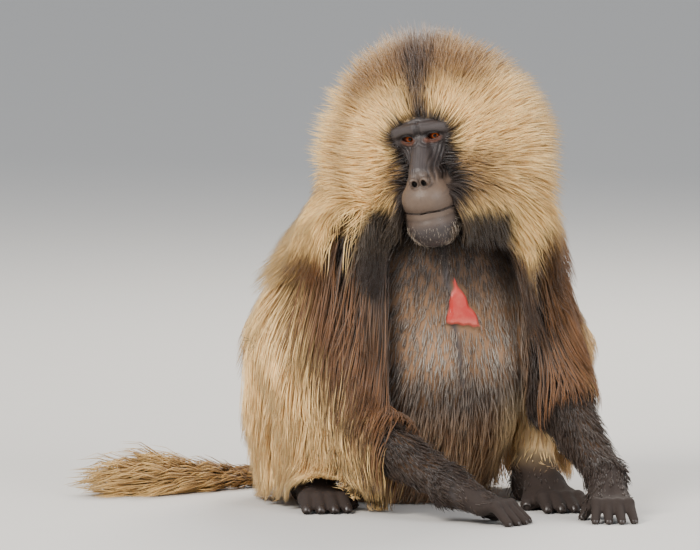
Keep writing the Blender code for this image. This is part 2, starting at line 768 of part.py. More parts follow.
def mane_locks(tiers, spacing, first, last, draw):
    """Tiers of locks round the head, from one turn round the face to another. Turns start at the crown."""
    made = []
    for angle, travel, tips in tiers:
        a = math.radians(angle)
        ring = MANE_REACH[0] * 0.62 * math.sin(a)
        count = max(2, round(math.radians(last - first) * ring / spacing))
        turns = np.radians(first + (last - first) * (np.arange(count) + 0.5) / count)
        turns += np.radians([draw.uniform(-2.0, 2.0) for _ in turns])
        ways = np.stack((np.sin(turns) * math.sin(a), -math.cos(a) * np.ones(count),
                         np.cos(turns) * math.sin(a)), axis=1) @ HEAD_MATRIX.T
        origins = np.tile(from_head(MANE_CENTRE), (count, 1))
        roots = skin_along(origins, ways)
        low = np.clip((np.abs(np.degrees(turns)) - 85.0) / 45.0, 0.0, 1.0)
        travels = travel * (1.0 + 0.9 * low) * np.array([1.0 + 0.1 * draw.uniform(-1, 1) for _ in turns])
        reach = tips * np.array([1.0 - 0.10 * (k % 2) + 0.03 * draw.uniform(-1, 1) for k in range(count)])
        widths = np.array([0.044 * (1.0 + 0.15 * draw.uniform(-1, 1)) for _ in turns])
        made += lay_locks(roots, travels, widths, 0.0065, reach)
    return made


# Tiers of the cape: height of the roots, travel along the lie, spacing in degrees
CAPE_TIERS = ((0.165, 0.145, 22.0), (0.255, 0.185, 22.0), (0.345, 0.190, 22.0))


def cape_locks(first, last, draw):
    """Tiers of locks round the trunk. Turns start at the trunk's front and go to its left."""
    made = []
    for tier, (height, travel, spacing) in enumerate(CAPE_TIERS):
        shift = 0.5 if tier % 2 else 0.0
        turns = np.arange(first + spacing * (0.3 + shift), last - spacing * 0.2, spacing)
        turns = turns + np.array([draw.uniform(-2.0, 2.0) for _ in turns])
        over_left_arm = np.clip(1.0 - np.abs(turns - 72.0) / 40.0, 0.0, 1.0)
        bearing = np.radians(turns) + TRUNK_TURN
        ways = np.stack((np.sin(bearing), -np.cos(bearing), np.zeros(len(turns))), axis=1)
        origins = np.tile((*CAPE_CENTRE, height), (len(turns), 1))
        roots = skin_along(origins, ways)
        travels = travel * (1.0 - (0.35 if tier else 0.65) * over_left_arm)
        travels = travels * np.array([1.0 + 0.08 * draw.uniform(-1, 1) for _ in turns])
        reach = np.array([1.0 - 0.10 * (k % 2) + 0.03 * draw.uniform(-1, 1) for k in range(len(turns))])
        widths = np.array([0.076 * (1.0 + 0.15 * draw.uniform(-1, 1)) for _ in turns])
        made += lay_locks(roots, travels, widths, 0.008, reach, LONG_LOCK_RINGS, LONG_LOCK_WIDTHS)
    return made


# Parts of the body

def make_trunk():
    low, high = (-0.20, -0.22, -0.02), (0.20, 0.22, 0.42)
    trunk = carve("trunk", trunk_field, low, high, 0.012, 420)
    return rest_on_floor(trunk)


def make_patch(trunk):
    """The bare patch, inlaid in the trunk."""
    def prism(name, grow, back):
        middle = np.mean((PATCH_APEX, *PATCH_FOOT), axis=0)
        outline = []
        for corner in (PATCH_APEX, *PATCH_FOOT):
            away = np.array(corner) - middle
            outline.append(middle + away * (1.0 + grow / np.linalg.norm(away) * 2.2))
        points = [from_trunk(left, front, up) for front in (back, 0.20) for left, up in outline]
        faces = [(0, 1, 2), (5, 4, 3), (0, 3, 4), (0, 4, 1), (1, 4, 5), (1, 5, 2), (2, 5, 3), (2, 3, 0)]
        obj = new_object(name, points, faces)
        bm = bmesh.new()
        bm.from_mesh(obj.data)
        bmesh.ops.recalc_face_normals(bm, faces=bm.faces)
        bm.to_mesh(obj.data)
        bm.free()
        return obj

    surface = CHEST[0][1] + CHEST[1][1]
    patch = combine(prism("chest_patch", 0.0, surface - PATCH_DEPTH), [copy_of(trunk, "mould")], "INTERSECT")
    combine(trunk, [prism("recess", GAP, surface - PATCH_DEPTH - GAP)], "DIFFERENCE")
    return patch


def make_neck(trunk, head):
    low, high = box_round((from_trunk(0.0, 0.0, 0.345), from_head((0.0, 0.080, -0.030))), 0.085)
    neck = carve("neck", neck_field, low, high, 0.012, 150)
    return cut_clear(neck, trunk, head)


def make_head():
    corners = [from_head((x, y, z)) for x in (-0.066, 0.066) for y in (-0.068, 0.150) for z in (-0.150, 0.074)]

    def need(points):
        p = to_head(points)
        return np.clip(0.98 - np.maximum(p[:, 1] - 0.012, 0.0) * 12.0, 0.15, 0.98)

    low, high = box_round(corners, 0.006)
    head = carve("head", head_field, low, high, 0.0026, 1060, need)
    cutters = []
    eyes = []
    for side, sign in (("right", -1.0), ("left", 1.0)):
        centre = Vector(from_head((sign * EYE_HALF_SPAN, EYE_RADIUS, 0.0)))
        turn = Matrix(HEAD_MATRIX.tolist()).to_4x4()
        place = Matrix.Translation(centre) @ turn
        eyes.append(round_piece(f"eye_{side}", place, (EYE_RADIUS,) * 3, 10, 7))
        cutters.append(round_piece("socket", place, (EYE_RADIUS + GAP,) * 3, 10, 7))
        forward = place @ Matrix.Translation((0.0, -EYE_RADIUS, 0.0))
        cutters.append(round_piece("opening", forward, (EYE_OPENING[0], 0.0095, EYE_OPENING[1]), 12, 8))
        nostril_at = Matrix.Translation(Vector(from_head((sign * NOSTRIL[0][0], *NOSTRIL[0][1:]))))
        cutters.append(round_piece("nostril", nostril_at @ turn, NOSTRIL[1], 8, 6))
    combine(head, cutters, "DIFFERENCE")
    return head, eyes


def round_piece(name, place, radii, segments, rings):
    bm = bmesh.new()
    bmesh.ops.create_uvsphere(bm, u_segments=segments, v_segments=rings, radius=1.0)
    bmesh.ops.triangulate(bm, faces=bm.faces)
    bmesh.ops.transform(bm, matrix=place @ Matrix.Diagonal((*radii, 1.0)), verts=bm.verts)
    mesh = bpy.data.meshes.new(name)
    bm.to_mesh(mesh)
    bm.free()
    obj = bpy.data.objects.new(name, mesh)
    bpy.context.scene.collection.objects.link(obj)
    return obj


def make_ear(side, head, neck):
    """A rounded ear with a hollow cup, set on the side of the skull."""
    sign = 1.0 if side == "left" else -1.0
    turn = Matrix(HEAD_MATRIX.tolist()).to_4x4()
    lean = Matrix.Rotation(sign * math.radians(-28.0), 4, "Z")
    place = Matrix.Translation(Vector(from_head((sign * EAR_AT[0], *EAR_AT[1:])))) @ turn @ lean
    ear = round_piece(f"ear_{side}", place, EAR_SIZE, 8, 6)
    cup_place = place @ Matrix.Translation((sign * 0.009, -0.006, 0.002))
    cup = round_piece("cup", cup_place, (0.009, 0.012, 0.017), 7, 5)
    combine(ear, [cup], "DIFFERENCE")
    return cut_clear(ear, head, neck)


def make_arm(side, trunk, neck):
    shoulder, elbow, wrist = (np.array(joint) for joint in ARM_JOINTS[side])
    whole = lambda p: whole_arm_field(p, side)
    low, high = box_round((shoulder, elbow, wrist), 0.060)
    arm = carve("arm", whole, low, high, 0.008, 290)
    cut_clear(arm, trunk, neck)
    fore = (wrist - elbow) / np.linalg.norm(wrist - elbow)
    up = (shoulder - elbow) / np.linalg.norm(shoulder - elbow)
    upper, lower = part_at(arm, elbow, fore - up, f"upper_arm_{side}", f"forearm_{side}")
    along, _ = paw_axes(HAND_HEADING[side])
    cut = wrist + fore * 0.004
    lower = trim(lower, Vector(cut - fore * GAP / 2.0), Vector(fore))
    low, high = box_round((wrist, wrist + along * HAND_LENGTH * 1.05), 0.045)
    low[2] = -0.006
    hand = carve(f"hand_{side}", whole, low, high, 0.0019, 360)
    trim(hand, Vector(cut + fore * GAP / 2.0), Vector(-fore))
    return upper, lower, rest_on_floor(hand)


def make_leg(side, trunk, arm):
    hip, knee, ankle = (np.array(joint) for joint in LEG_JOINTS[side])
    low, high = box_round((hip, knee, ankle), 0.070)
    low[2] = max(low[2], -0.006)
    whole = lambda p: whole_leg_field(p, side)
    leg = carve("leg", whole, low, high, 0.009, 290)
    cut_clear(leg, trunk, *arm[:2])
    up = (hip - knee) / np.linalg.norm(hip - knee)
    down = (ankle - knee) / np.linalg.norm(ankle - knee)
    thigh, shank = part_at(leg, knee, down - up, f"thigh_{side}", f"shank_{side}")
    cut = ankle - down * 0.012
    shank = trim(shank, Vector(cut - down * GAP / 2.0), Vector(down))
    along, _ = paw_axes(FOOT_HEADING[side])
    low, high = box_round((ankle - along * 0.03, ankle + along * FOOT_LENGTH * 0.9), 0.045)
    low[2] = -0.006
    foot = carve(f"foot_{side}", whole, low, high, 0.0026, 280)
    trim(foot, Vector(cut + down * GAP / 2.0), Vector(-down))
    return rest_on_floor(thigh), shank, rest_on_floor(foot)


def make_tail(trunk):
    """Three lengths, the last with the tuft's locks along it and past its end."""
    low, high = box_round(TAIL_ROUTE, 0.032)
    tail = carve("tail", tail_field, low, high, 0.0065, 320)
    cut_clear(tail, trunk)
    rest_on_floor(tail)
    route = np.array(TAIL_ROUTE)
    base, rest = part_at(tail, route[2], route[3] - route[1], "tail_base", "rest")
    middle, end = part_at(rest, route[4], route[5] - route[3], "tail_middle", "tail_end")
    draw = random.Random(13)
    pieces = []
    for tier, count in ((3.95, 3), (4.75, 4), (5.5, 3)):
        i = int(tier)
        at = route[i] + (route[i + 1] - route[i]) * (tier - i)
        ahead = (route[i + 1] - route[i]) / np.linalg.norm(route[i + 1] - route[i])
        across = np.cross(ahead, (0.0, 0.0, 1.0))
        up = np.cross(across, ahead)
        for k in range(count):
            turn = math.radians(-112.0 + 224.0 * (k + 0.5) / count + draw.uniform(-6, 6))
            out = across * math.sin(turn) + up * math.cos(turn)
            length = 0.084 * (1.0 + 0.15 * draw.uniform(-1, 1))
            rise = 0.027 - 0.008 * (k % 2)
            knots = np.array([at + out * 0.009, at + ahead * length * 0.33 + out * rise * 0.80,
                              at + ahead * length * 0.70 + out * rise, at + ahead * length + out * rise * 0.9])
            knots[:, 2] = np.maximum(knots[:, 2], 0.006)
            pieces.append(lock(knots, [out] * 4, 0.026, 0.006, LOCK_WIDTHS))
    combine(end, pieces, "UNION")
    end = trim(end, Vector(route[4]) + Vector(route[5] - route[3]).normalized() * GAP / 2.0,
               -Vector(route[5] - route[3]))
    return base, middle, rest_on_floor(end)


def mane_core_field(points):
    """The mane's core over the head and neck, open at the face and the throat."""
    layer = coat_layer(points, CORE_SHARE)
    p = to_head(points)
    face = ball(p, (0.0, -0.055, -0.050), (0.050, 0.092, 0.088))
    throat = ball(p, (0.0, -0.030, -0.185), (0.085, 0.130, 0.105))
    below = 0.365 - points[:, 2]
    core = overlap(layer, -face, 0.012)
    return np.maximum(overlap(core, -throat, 0.012), below)


def cape_core_field(points):
    """The cape's core over the shoulders, back and flanks, open at the front."""
    layer = coat_layer(points, CORE_SHARE)
    x, y, z = points.T
    opening = np.maximum.reduce((CAPE_OPENING[0] - x, x - CAPE_OPENING[1], y - 0.045))
    core = overlap(layer, -opening, 0.020)
    lowest = 0.120 + 0.070 * np.clip((x - 0.06) / 0.08, 0.0, 1.0) * np.clip((0.06 - y) / 0.06, 0.0, 1.0)
    core = overlap(core, lowest - z, 0.020)
    return np.maximum(core, z - 0.400)


def crown_plane(side):
    """The plane between crown and ruff on one side, which runs out from the mane's middle, facing the crown."""
    turn = math.radians(CROWN_EDGE_TURN)
    lean = -math.cos(turn) if side == "left" else math.cos(turn)
    return Vector(from_head(MANE_CENTRE)), Vector(HEAD_MATRIX @ np.array((lean, 0.0, math.sin(turn))))


def keep_above(obj, point, normal):
    """Removes what lies behind a plane, half the usual gap away from it."""
    normal = Vector(normal).normalized()
    return trim(obj, Vector(point) + normal * GAP / 2.0, -normal)


def make_clearances():
    """Coarse copies of the flesh, a little larger, that clear the coat of it with few triangles."""
    field = lambda p: flesh_field(p) - UNDERCOAT_GAP
    upper = carve("clearance", field, (-0.16, -0.20, 0.33), (0.20, 0.16, 0.57), 0.009, 620)
    lower = carve("clearance", field, (-0.26, -0.20, 0.01), (0.26, 0.20, 0.43), 0.009, 1000)
    return upper, lower


def make_mane(head, ears, clearance):
    """A crown, a ruff on each side and a nape, each a piece of the core with its locks."""
    low, high = box_round([from_head(MANE_CENTRE)], 0.155)
    core = carve("core", mane_core_field, low, high, 0.011, 330)
    behind = Vector(from_head((0.0, 0.100, 0.0))), Vector(HEAD_MATRIX[:, 1])
    middle = Vector(from_head((0.0, 0.0, 0.0))), Vector(HEAD_MATRIX[:, 0])
    front = keep_above(copy_of(core, "front"), behind[0], -behind[1])
    nape = keep_above(core, *behind)
    nape.name = "nape"
    reach = CROWN_EDGE_TURN - 3.0
    locks = mane_locks(MANE_TIERS, MANE_SPACING, -reach, reach, random.Random(3))
    crown = combine(copy_of(front, "crown"), locks, "UNION")
    for side in ("right", "left"):
        keep_above(crown, *crown_plane(side))
    combine(crown, [copy_of(clearance, "cutter")], "DIFFERENCE")
    done = [cut_clear(crown, head, *ears.values())]
    for side, sign in (("right", -1.0), ("left", 1.0)):
        point, normal = crown_plane(side)
        turns = sorted((sign * (CROWN_EDGE_TURN + 4.0), sign * MANE_LOWEST_TURN))
        locks = mane_locks(MANE_TIERS, MANE_SPACING, *turns, random.Random(9))
        ruff = combine(copy_of(front, f"ruff_{side}"), locks, "UNION")
        keep_above(ruff, point, -normal)
        keep_above(ruff, middle[0], middle[1] * sign)
        combine(ruff, [copy_of(clearance, "cutter")], "DIFFERENCE")
        done.append(cut_clear(ruff, head, ears[side]))
    bpy.data.objects.remove(front)
    locks = mane_locks(NAPE_TIERS, NAPE_SPACING, -112.0, 112.0, random.Random(7))
    combine(nape, locks, "UNION")
    combine(nape, [copy_of(clearance, "cutter")], "DIFFERENCE")
    return [*done, cut_clear(nape, *done, gap=2.0 * GAP)]


CAPE_PIECES = {"cape_right": (-118.0, -20.0), "cape_left": (40.0, 118.0), "cape_back": (118.0, 242.0)}


def side_plane(turn):
    """A point and normal of the upright plane at a turn round the trunk, facing greater turns."""
    bearing = math.radians(turn) + TRUNK_TURN
    return Vector((*CAPE_CENTRE, 0.2)), Vector((math.cos(bearing), math.sin(bearing), 0.0))


def make_cape(mane, knees, clearance):
    """Hair over each shoulder and down the back, open over the chest."""
    core = carve("core", cape_core_field, (-0.25, -0.22, 0.09), (0.25, 0.28, 0.42), 0.013, 330)
    made = []
    for number, (name, (first, last)) in enumerate(CAPE_PIECES.items()):
        locks = cape_locks(first, last, random.Random(21 + number))
        piece = combine(copy_of(core, name), locks, "UNION")
        if name == "cape_back":
            planes = [(first, 1.0), (last, -1.0)]
        else:
            planes = [(first, 1.0), (first + 150.0, -1.0)] if name == "cape_right" else [(last - 150.0, 1.0), (last, -1.0)]
        for turn, sign in planes:
            point, normal = side_plane(turn)
            keep_above(piece, point, normal * sign)
        combine(piece, [copy_of(clearance, "cutter")], "DIFFERENCE")
        for other in (*mane, *knees):
            cut_clear(piece, other, gap=2.0 * GAP)
            combine(piece, [copy_of(other, "cutter")], "DIFFERENCE")
        made.append(piece)
    bpy.data.objects.remove(core)
    return made


# Materials

def paint(obj, slot):
    material = bpy.data.materials.get(slot)
    if material is None:
        material = bpy.data.materials.new(slot)
        material.use_nodes = True
        shader = material.node_tree.nodes["Principled BSDF"]
        colour, rough = COLOURS[slot]
        shader.inputs["Base Color"].default_value = (*colour, 1.0)
        shader.inputs["Roughness"].default_value = rough
        shader.inputs["Metallic"].default_value = 0.0
    obj.data.materials.clear()
    obj.data.materials.append(material)
    obj.data.shade_smooth()
    obj.data.set_sharp_from_angle(angle=math.radians(50.0))


def main():
    for obj in list(bpy.data.objects):
        bpy.data.objects.remove(obj)
    trunk = make_trunk()
    patch = make_patch(trunk)
    head, eyes = make_head()
    cut_clear(trunk, head)
    neck = make_neck(trunk, head)
    ears = {side: make_ear(side, head, neck) for side in ("right", "left")}
    arms = [make_arm(side, trunk, neck) for side in ("right", "left")]
    legs = [make_leg(side, trunk, arm) for side, arm in zip(("right", "left"), arms)]
    tail = make_tail(trunk)
    uppers = [arm[0] for arm in arms]
    upper_clearance, lower_clearance = make_clearances()
    mane = make_mane(head, ears, upper_clearance)
    cape = make_cape(mane, [piece for leg in legs for piece in leg[:2]], lower_clearance)
    bpy.data.objects.remove(upper_clearance)
    bpy.data.objects.remove(lower_clearance)
    painted = {
        "face_skin": [head, *ears.values()],
        "hand_fur": [piece for arm in arms for piece in arm[1:]] + [leg[2] for leg in legs],
        "trunk_fur": [trunk, neck, *uppers] + [piece for leg in legs for piece in leg[:2]],
        "mane_hair": mane,
        "cape_hair": cape,
        "tail_hair": list(tail),
        "chest_skin": [patch],
        "eye": eyes,
    }
    for slot, pieces in painted.items():
        for piece in pieces:
            paint(piece, slot)


main()
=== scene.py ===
"""Looks of a seated male gelada: one skin, eyes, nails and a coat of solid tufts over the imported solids.

Metres, +Z up. The origin is under the seat, the face looks towards -Y and +X is the animal's left.
"""

import logging
import math
from dataclasses import dataclass
from enum import Enum
from functools import reduce
from typing import Callable, Sequence

import bmesh
import bpy
import numpy as np
from mathutils import Matrix, Vector
from mathutils.kdtree import KDTree


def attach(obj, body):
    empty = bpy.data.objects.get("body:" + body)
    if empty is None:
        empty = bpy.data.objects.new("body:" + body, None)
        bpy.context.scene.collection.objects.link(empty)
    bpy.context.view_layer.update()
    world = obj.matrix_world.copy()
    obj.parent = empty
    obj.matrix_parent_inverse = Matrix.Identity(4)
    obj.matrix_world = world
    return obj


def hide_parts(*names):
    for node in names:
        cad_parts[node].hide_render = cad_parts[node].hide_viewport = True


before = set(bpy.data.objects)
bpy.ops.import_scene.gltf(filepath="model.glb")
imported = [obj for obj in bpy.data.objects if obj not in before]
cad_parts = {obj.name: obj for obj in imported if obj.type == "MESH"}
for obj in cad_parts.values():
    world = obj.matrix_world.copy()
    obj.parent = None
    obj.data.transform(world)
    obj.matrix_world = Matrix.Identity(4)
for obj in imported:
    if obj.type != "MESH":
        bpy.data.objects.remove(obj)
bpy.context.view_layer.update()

Array = np.ndarray
Field = Callable[[Array], Array]
log = logging.getLogger("gelada")
FAR = 0.2
CORNERS = np.array([(i >> 2 & 1, i >> 1 & 1, i & 1) for i in range(8)])


class Slot(Enum):
    """Material slots of the record."""

    FACE = "face_skin"
    HAND = "hand_fur"
    TRUNK = "trunk_fur"
    MANE = "mane_hair"
    CAPE = "cape_hair"
    TAIL = "tail_hair"
    EYE = "eye"


class Side(Enum):
    """The animal's own sides. The value is the sign of x."""

    RIGHT = -1.0
    LEFT = 1.0

    @property
    def word(self) -> str:
        """The side's name in lower case."""
        return self.name.lower()


# Maths of forms


def ball(points: Array, centre: Sequence[float], radii: Sequence[float]) -> Array:
    """Signed distance, near enough, to an ellipsoid.

    Args:
        points: Places to measure.
        centre: Middle of the ellipsoid.
        radii: Half its size along each axis.

    Returns:
        Distances, below zero inside.
    """
    away = points - np.asarray(centre)
    radii = np.asarray(radii)
    scaled = np.linalg.norm(away / radii, axis=1)
    steep = np.linalg.norm(away / radii**2, axis=1)
    return scaled * (scaled - 1.0) / np.maximum(steep, 1e-9)


def bone(points: Array, start: Sequence[float], end: Sequence[float], start_radius: float,
         end_radius: float) -> Array:
    """Signed distance to a tapered bone with round ends.

    Args:
        points: Places to measure.
        start: Middle of the first end.
        end: Middle of the other end.
        start_radius: Radius at the first end.
        end_radius: Radius at the other end.

    Returns:
        Distances, below zero inside.
    """
    start, end = np.asarray(start, float), np.asarray(end, float)
    along = end - start
    t = np.clip((points - start) @ along / (along @ along), 0.0, 1.0)
    away = np.linalg.norm(points - start - t[:, None] * along, axis=1)
    return away - (start_radius + t * (end_radius - start_radius))


def blend(first: Array, second: Array, width: float) -> Array:
    """Smooth union of two fields, whose join is this wide."""
    h = np.clip(0.5 + 0.5 * (second - first) / width, 0.0, 1.0)
    return second + (first - second) * h - width * h * (1.0 - h)


def blend_all(fields: Sequence[Array], width: float) -> Array:
    """Smooth union of several fields, one after another."""
    return reduce(lambda total, other: blend(total, other, width), fields)


def mirrored(points: Array) -> Array:
    """The same points, all on the left."""
    return np.stack((np.abs(points[:, 0]), points[:, 1], points[:, 2]), axis=1)


def cut(body: Array, tool: Array, width: float) -> Array:
    """Body less tool, with a rounded edge."""
    return -blend(-body, tool, width)


def varied(draw: np.random.Generator, count: int, least: float, span: float) -> Array:
    """Random numbers from least up to least and span together."""
    return least + span * draw.random(count)


def smooth(value: Array, low: float, high: float) -> Array:
    """A soft step from 0 at low to 1 at high."""
    t = np.clip((value - low) / (high - low), 0.0, 1.0)
    return t * t * (3.0 - 2.0 * t)


def hump(value: Array, middle: float, half: float) -> Array:
    """A soft bump of height 1 at middle, with this half width."""
    return np.exp(-(((value - middle) / half) ** 2))


def units(vectors: Array) -> Array:
    """The same vectors, each of length 1."""
    return vectors / np.maximum(np.linalg.norm(vectors, axis=-1, keepdims=True), 1e-9)


def near(points: Array, low: Array, high: Array, form: Field) -> Array:
    """A field that is worked out only in and near a box, and is FAR elsewhere.

    Args:
        points: Places to measure.
        low: Lowest corner of the box.
        high: Highest corner of the box.
        form: The field.

    Returns:
        Distances.
    """
    inside = ((points > low) & (points < high)).all(axis=1)
    total = np.full(len(points), FAR)
    if inside.any():
        total[inside] = form(points[inside])
    return total


@dataclass(frozen=True)
class Stance:
    """Where the trunk and the head are and how they are turned."""

    trunk_turn: float = math.radians(20.0)
    head_turn: float = math.radians(-13.5)
    head_tilt: float = math.radians(-9.5)
    eyes_at: tuple[float, float, float] = (-0.006, -0.135, 0.478)

    @property
    def head_axes(self) -> Array:
        """Rotation from the head's frame to the world's."""
        return np.array(Matrix.Rotation(self.head_tilt, 3, "Y") @ Matrix.Rotation(self.head_turn, 3, "Z"))

    @property
    def trunk_axes(self) -> Array:
        """The mirrored rotation between the trunk's frame and the world, the same both ways."""
        c, s = math.cos(self.trunk_turn), math.sin(self.trunk_turn)
        return np.array(((c, s, 0.0), (s, -c, 0.0), (0.0, 0.0, 1.0)))

    def to_trunk(self, points: Array) -> Array:
        """World points as left, front and up of the trunk."""
        return points @ self.trunk_axes

    def to_head(self, points: Array) -> Array:
        """World points as left, back and up from between the eyes."""
        return (points - np.array(self.eyes_at)) @ self.head_axes

    def from_head(self, point: Sequence[float]) -> Array:
        """A point of the head's frame in the world."""
        return np.array(self.eyes_at) + self.head_axes @ np.asarray(point, float)


STANCE = Stance()


# Forms of the body


@dataclass(frozen=True)
class Trunk:
    """Pelvis, belly, chest, withers and shoulders, with the bare patch on the chest."""

    seat: tuple = ((0.0, 0.0, 0.030), (0.075, 0.050, 0.034))
    pelvis: tuple = ((0.0, -0.035, 0.110), (0.116, 0.103, 0.106))
    belly: tuple = ((0.0, 0.025, 0.175), (0.126, 0.116, 0.135))
    chest: tuple = ((0.0, 0.020, 0.285), (0.116, 0.113, 0.112))
    withers: tuple = ((0.0, -0.050, 0.300), (0.100, 0.075, 0.115))
    shoulder_half_span: float = 0.080
    shoulder_height: float = 0.325
    shoulder_radius: float = 0.066
    join: float = 0.045
    fur: float = 0.005
    patch_apex: tuple = (-0.008, 0.296)
    patch_foot: tuple = ((-0.021, 0.240), (0.030, 0.232))

    def form(self, points: Array) -> Array:
        """Distance to the furred trunk.

        Args:
            points: World points.

        Returns:
            Distances.
        """
        p = STANCE.to_trunk(points)
        half, height, radius = self.shoulder_half_span, self.shoulder_height, self.shoulder_radius
        forms = [ball(p, *f) for f in (self.pelvis, self.belly, self.chest, self.withers, self.seat)]
        forms.append(bone(p, (-half, 0.0, height), (half, 0.0, height), radius, radius))
        return blend_all(forms, self.join)

    def neck(self, points: Array) -> Array:
        """Distance to the furred neck."""
        return bone(points, (0.0, 0.0, 0.345), STANCE.from_head((0.0, 0.080, -0.030)), 0.070, 0.056)

    def patch(self, points: Array, soft: float = 0.0012) -> Array:
        """How much of each point lies in the bare patch, from 0 to 1.

        Args:
            points: World points.
            soft: Half width of the patch's edge.

        Returns:
            One share for each point.
        """
        p = STANCE.to_trunk(points)
        corners = np.array((self.patch_apex, *self.patch_foot))
        inside = np.full(len(p), FAR)
        middle = corners.mean(axis=0)
        flat = p[:, [0, 2]]
        wave = 0.0012 * np.sin(flat[:, 1] * 260.0) + 0.0009 * np.sin(flat[:, 0] * 410.0 + 1.0)
        for k in range(3):
            a, b = corners[k], corners[(k + 1) % 3]
            normal = np.array((a[1] - b[1], b[0] - a[0]))
            normal /= np.linalg.norm(normal)
            if (middle - a) @ normal < 0.0:
                normal = -normal
            inside = np.minimum(inside, (flat - a) @ normal + wave)
        return smooth(inside, -soft, soft) * (p[:, 1] > 0.06)

    def skin(self, points: Array) -> Array:
        """Distance to the trunk's and neck's skin, under the fur."""
        trunk = self.form(points) + self.fur * (1.0 - self.patch(points, 0.004))
        return blend(trunk, self.neck(points) + self.fur, 0.03)


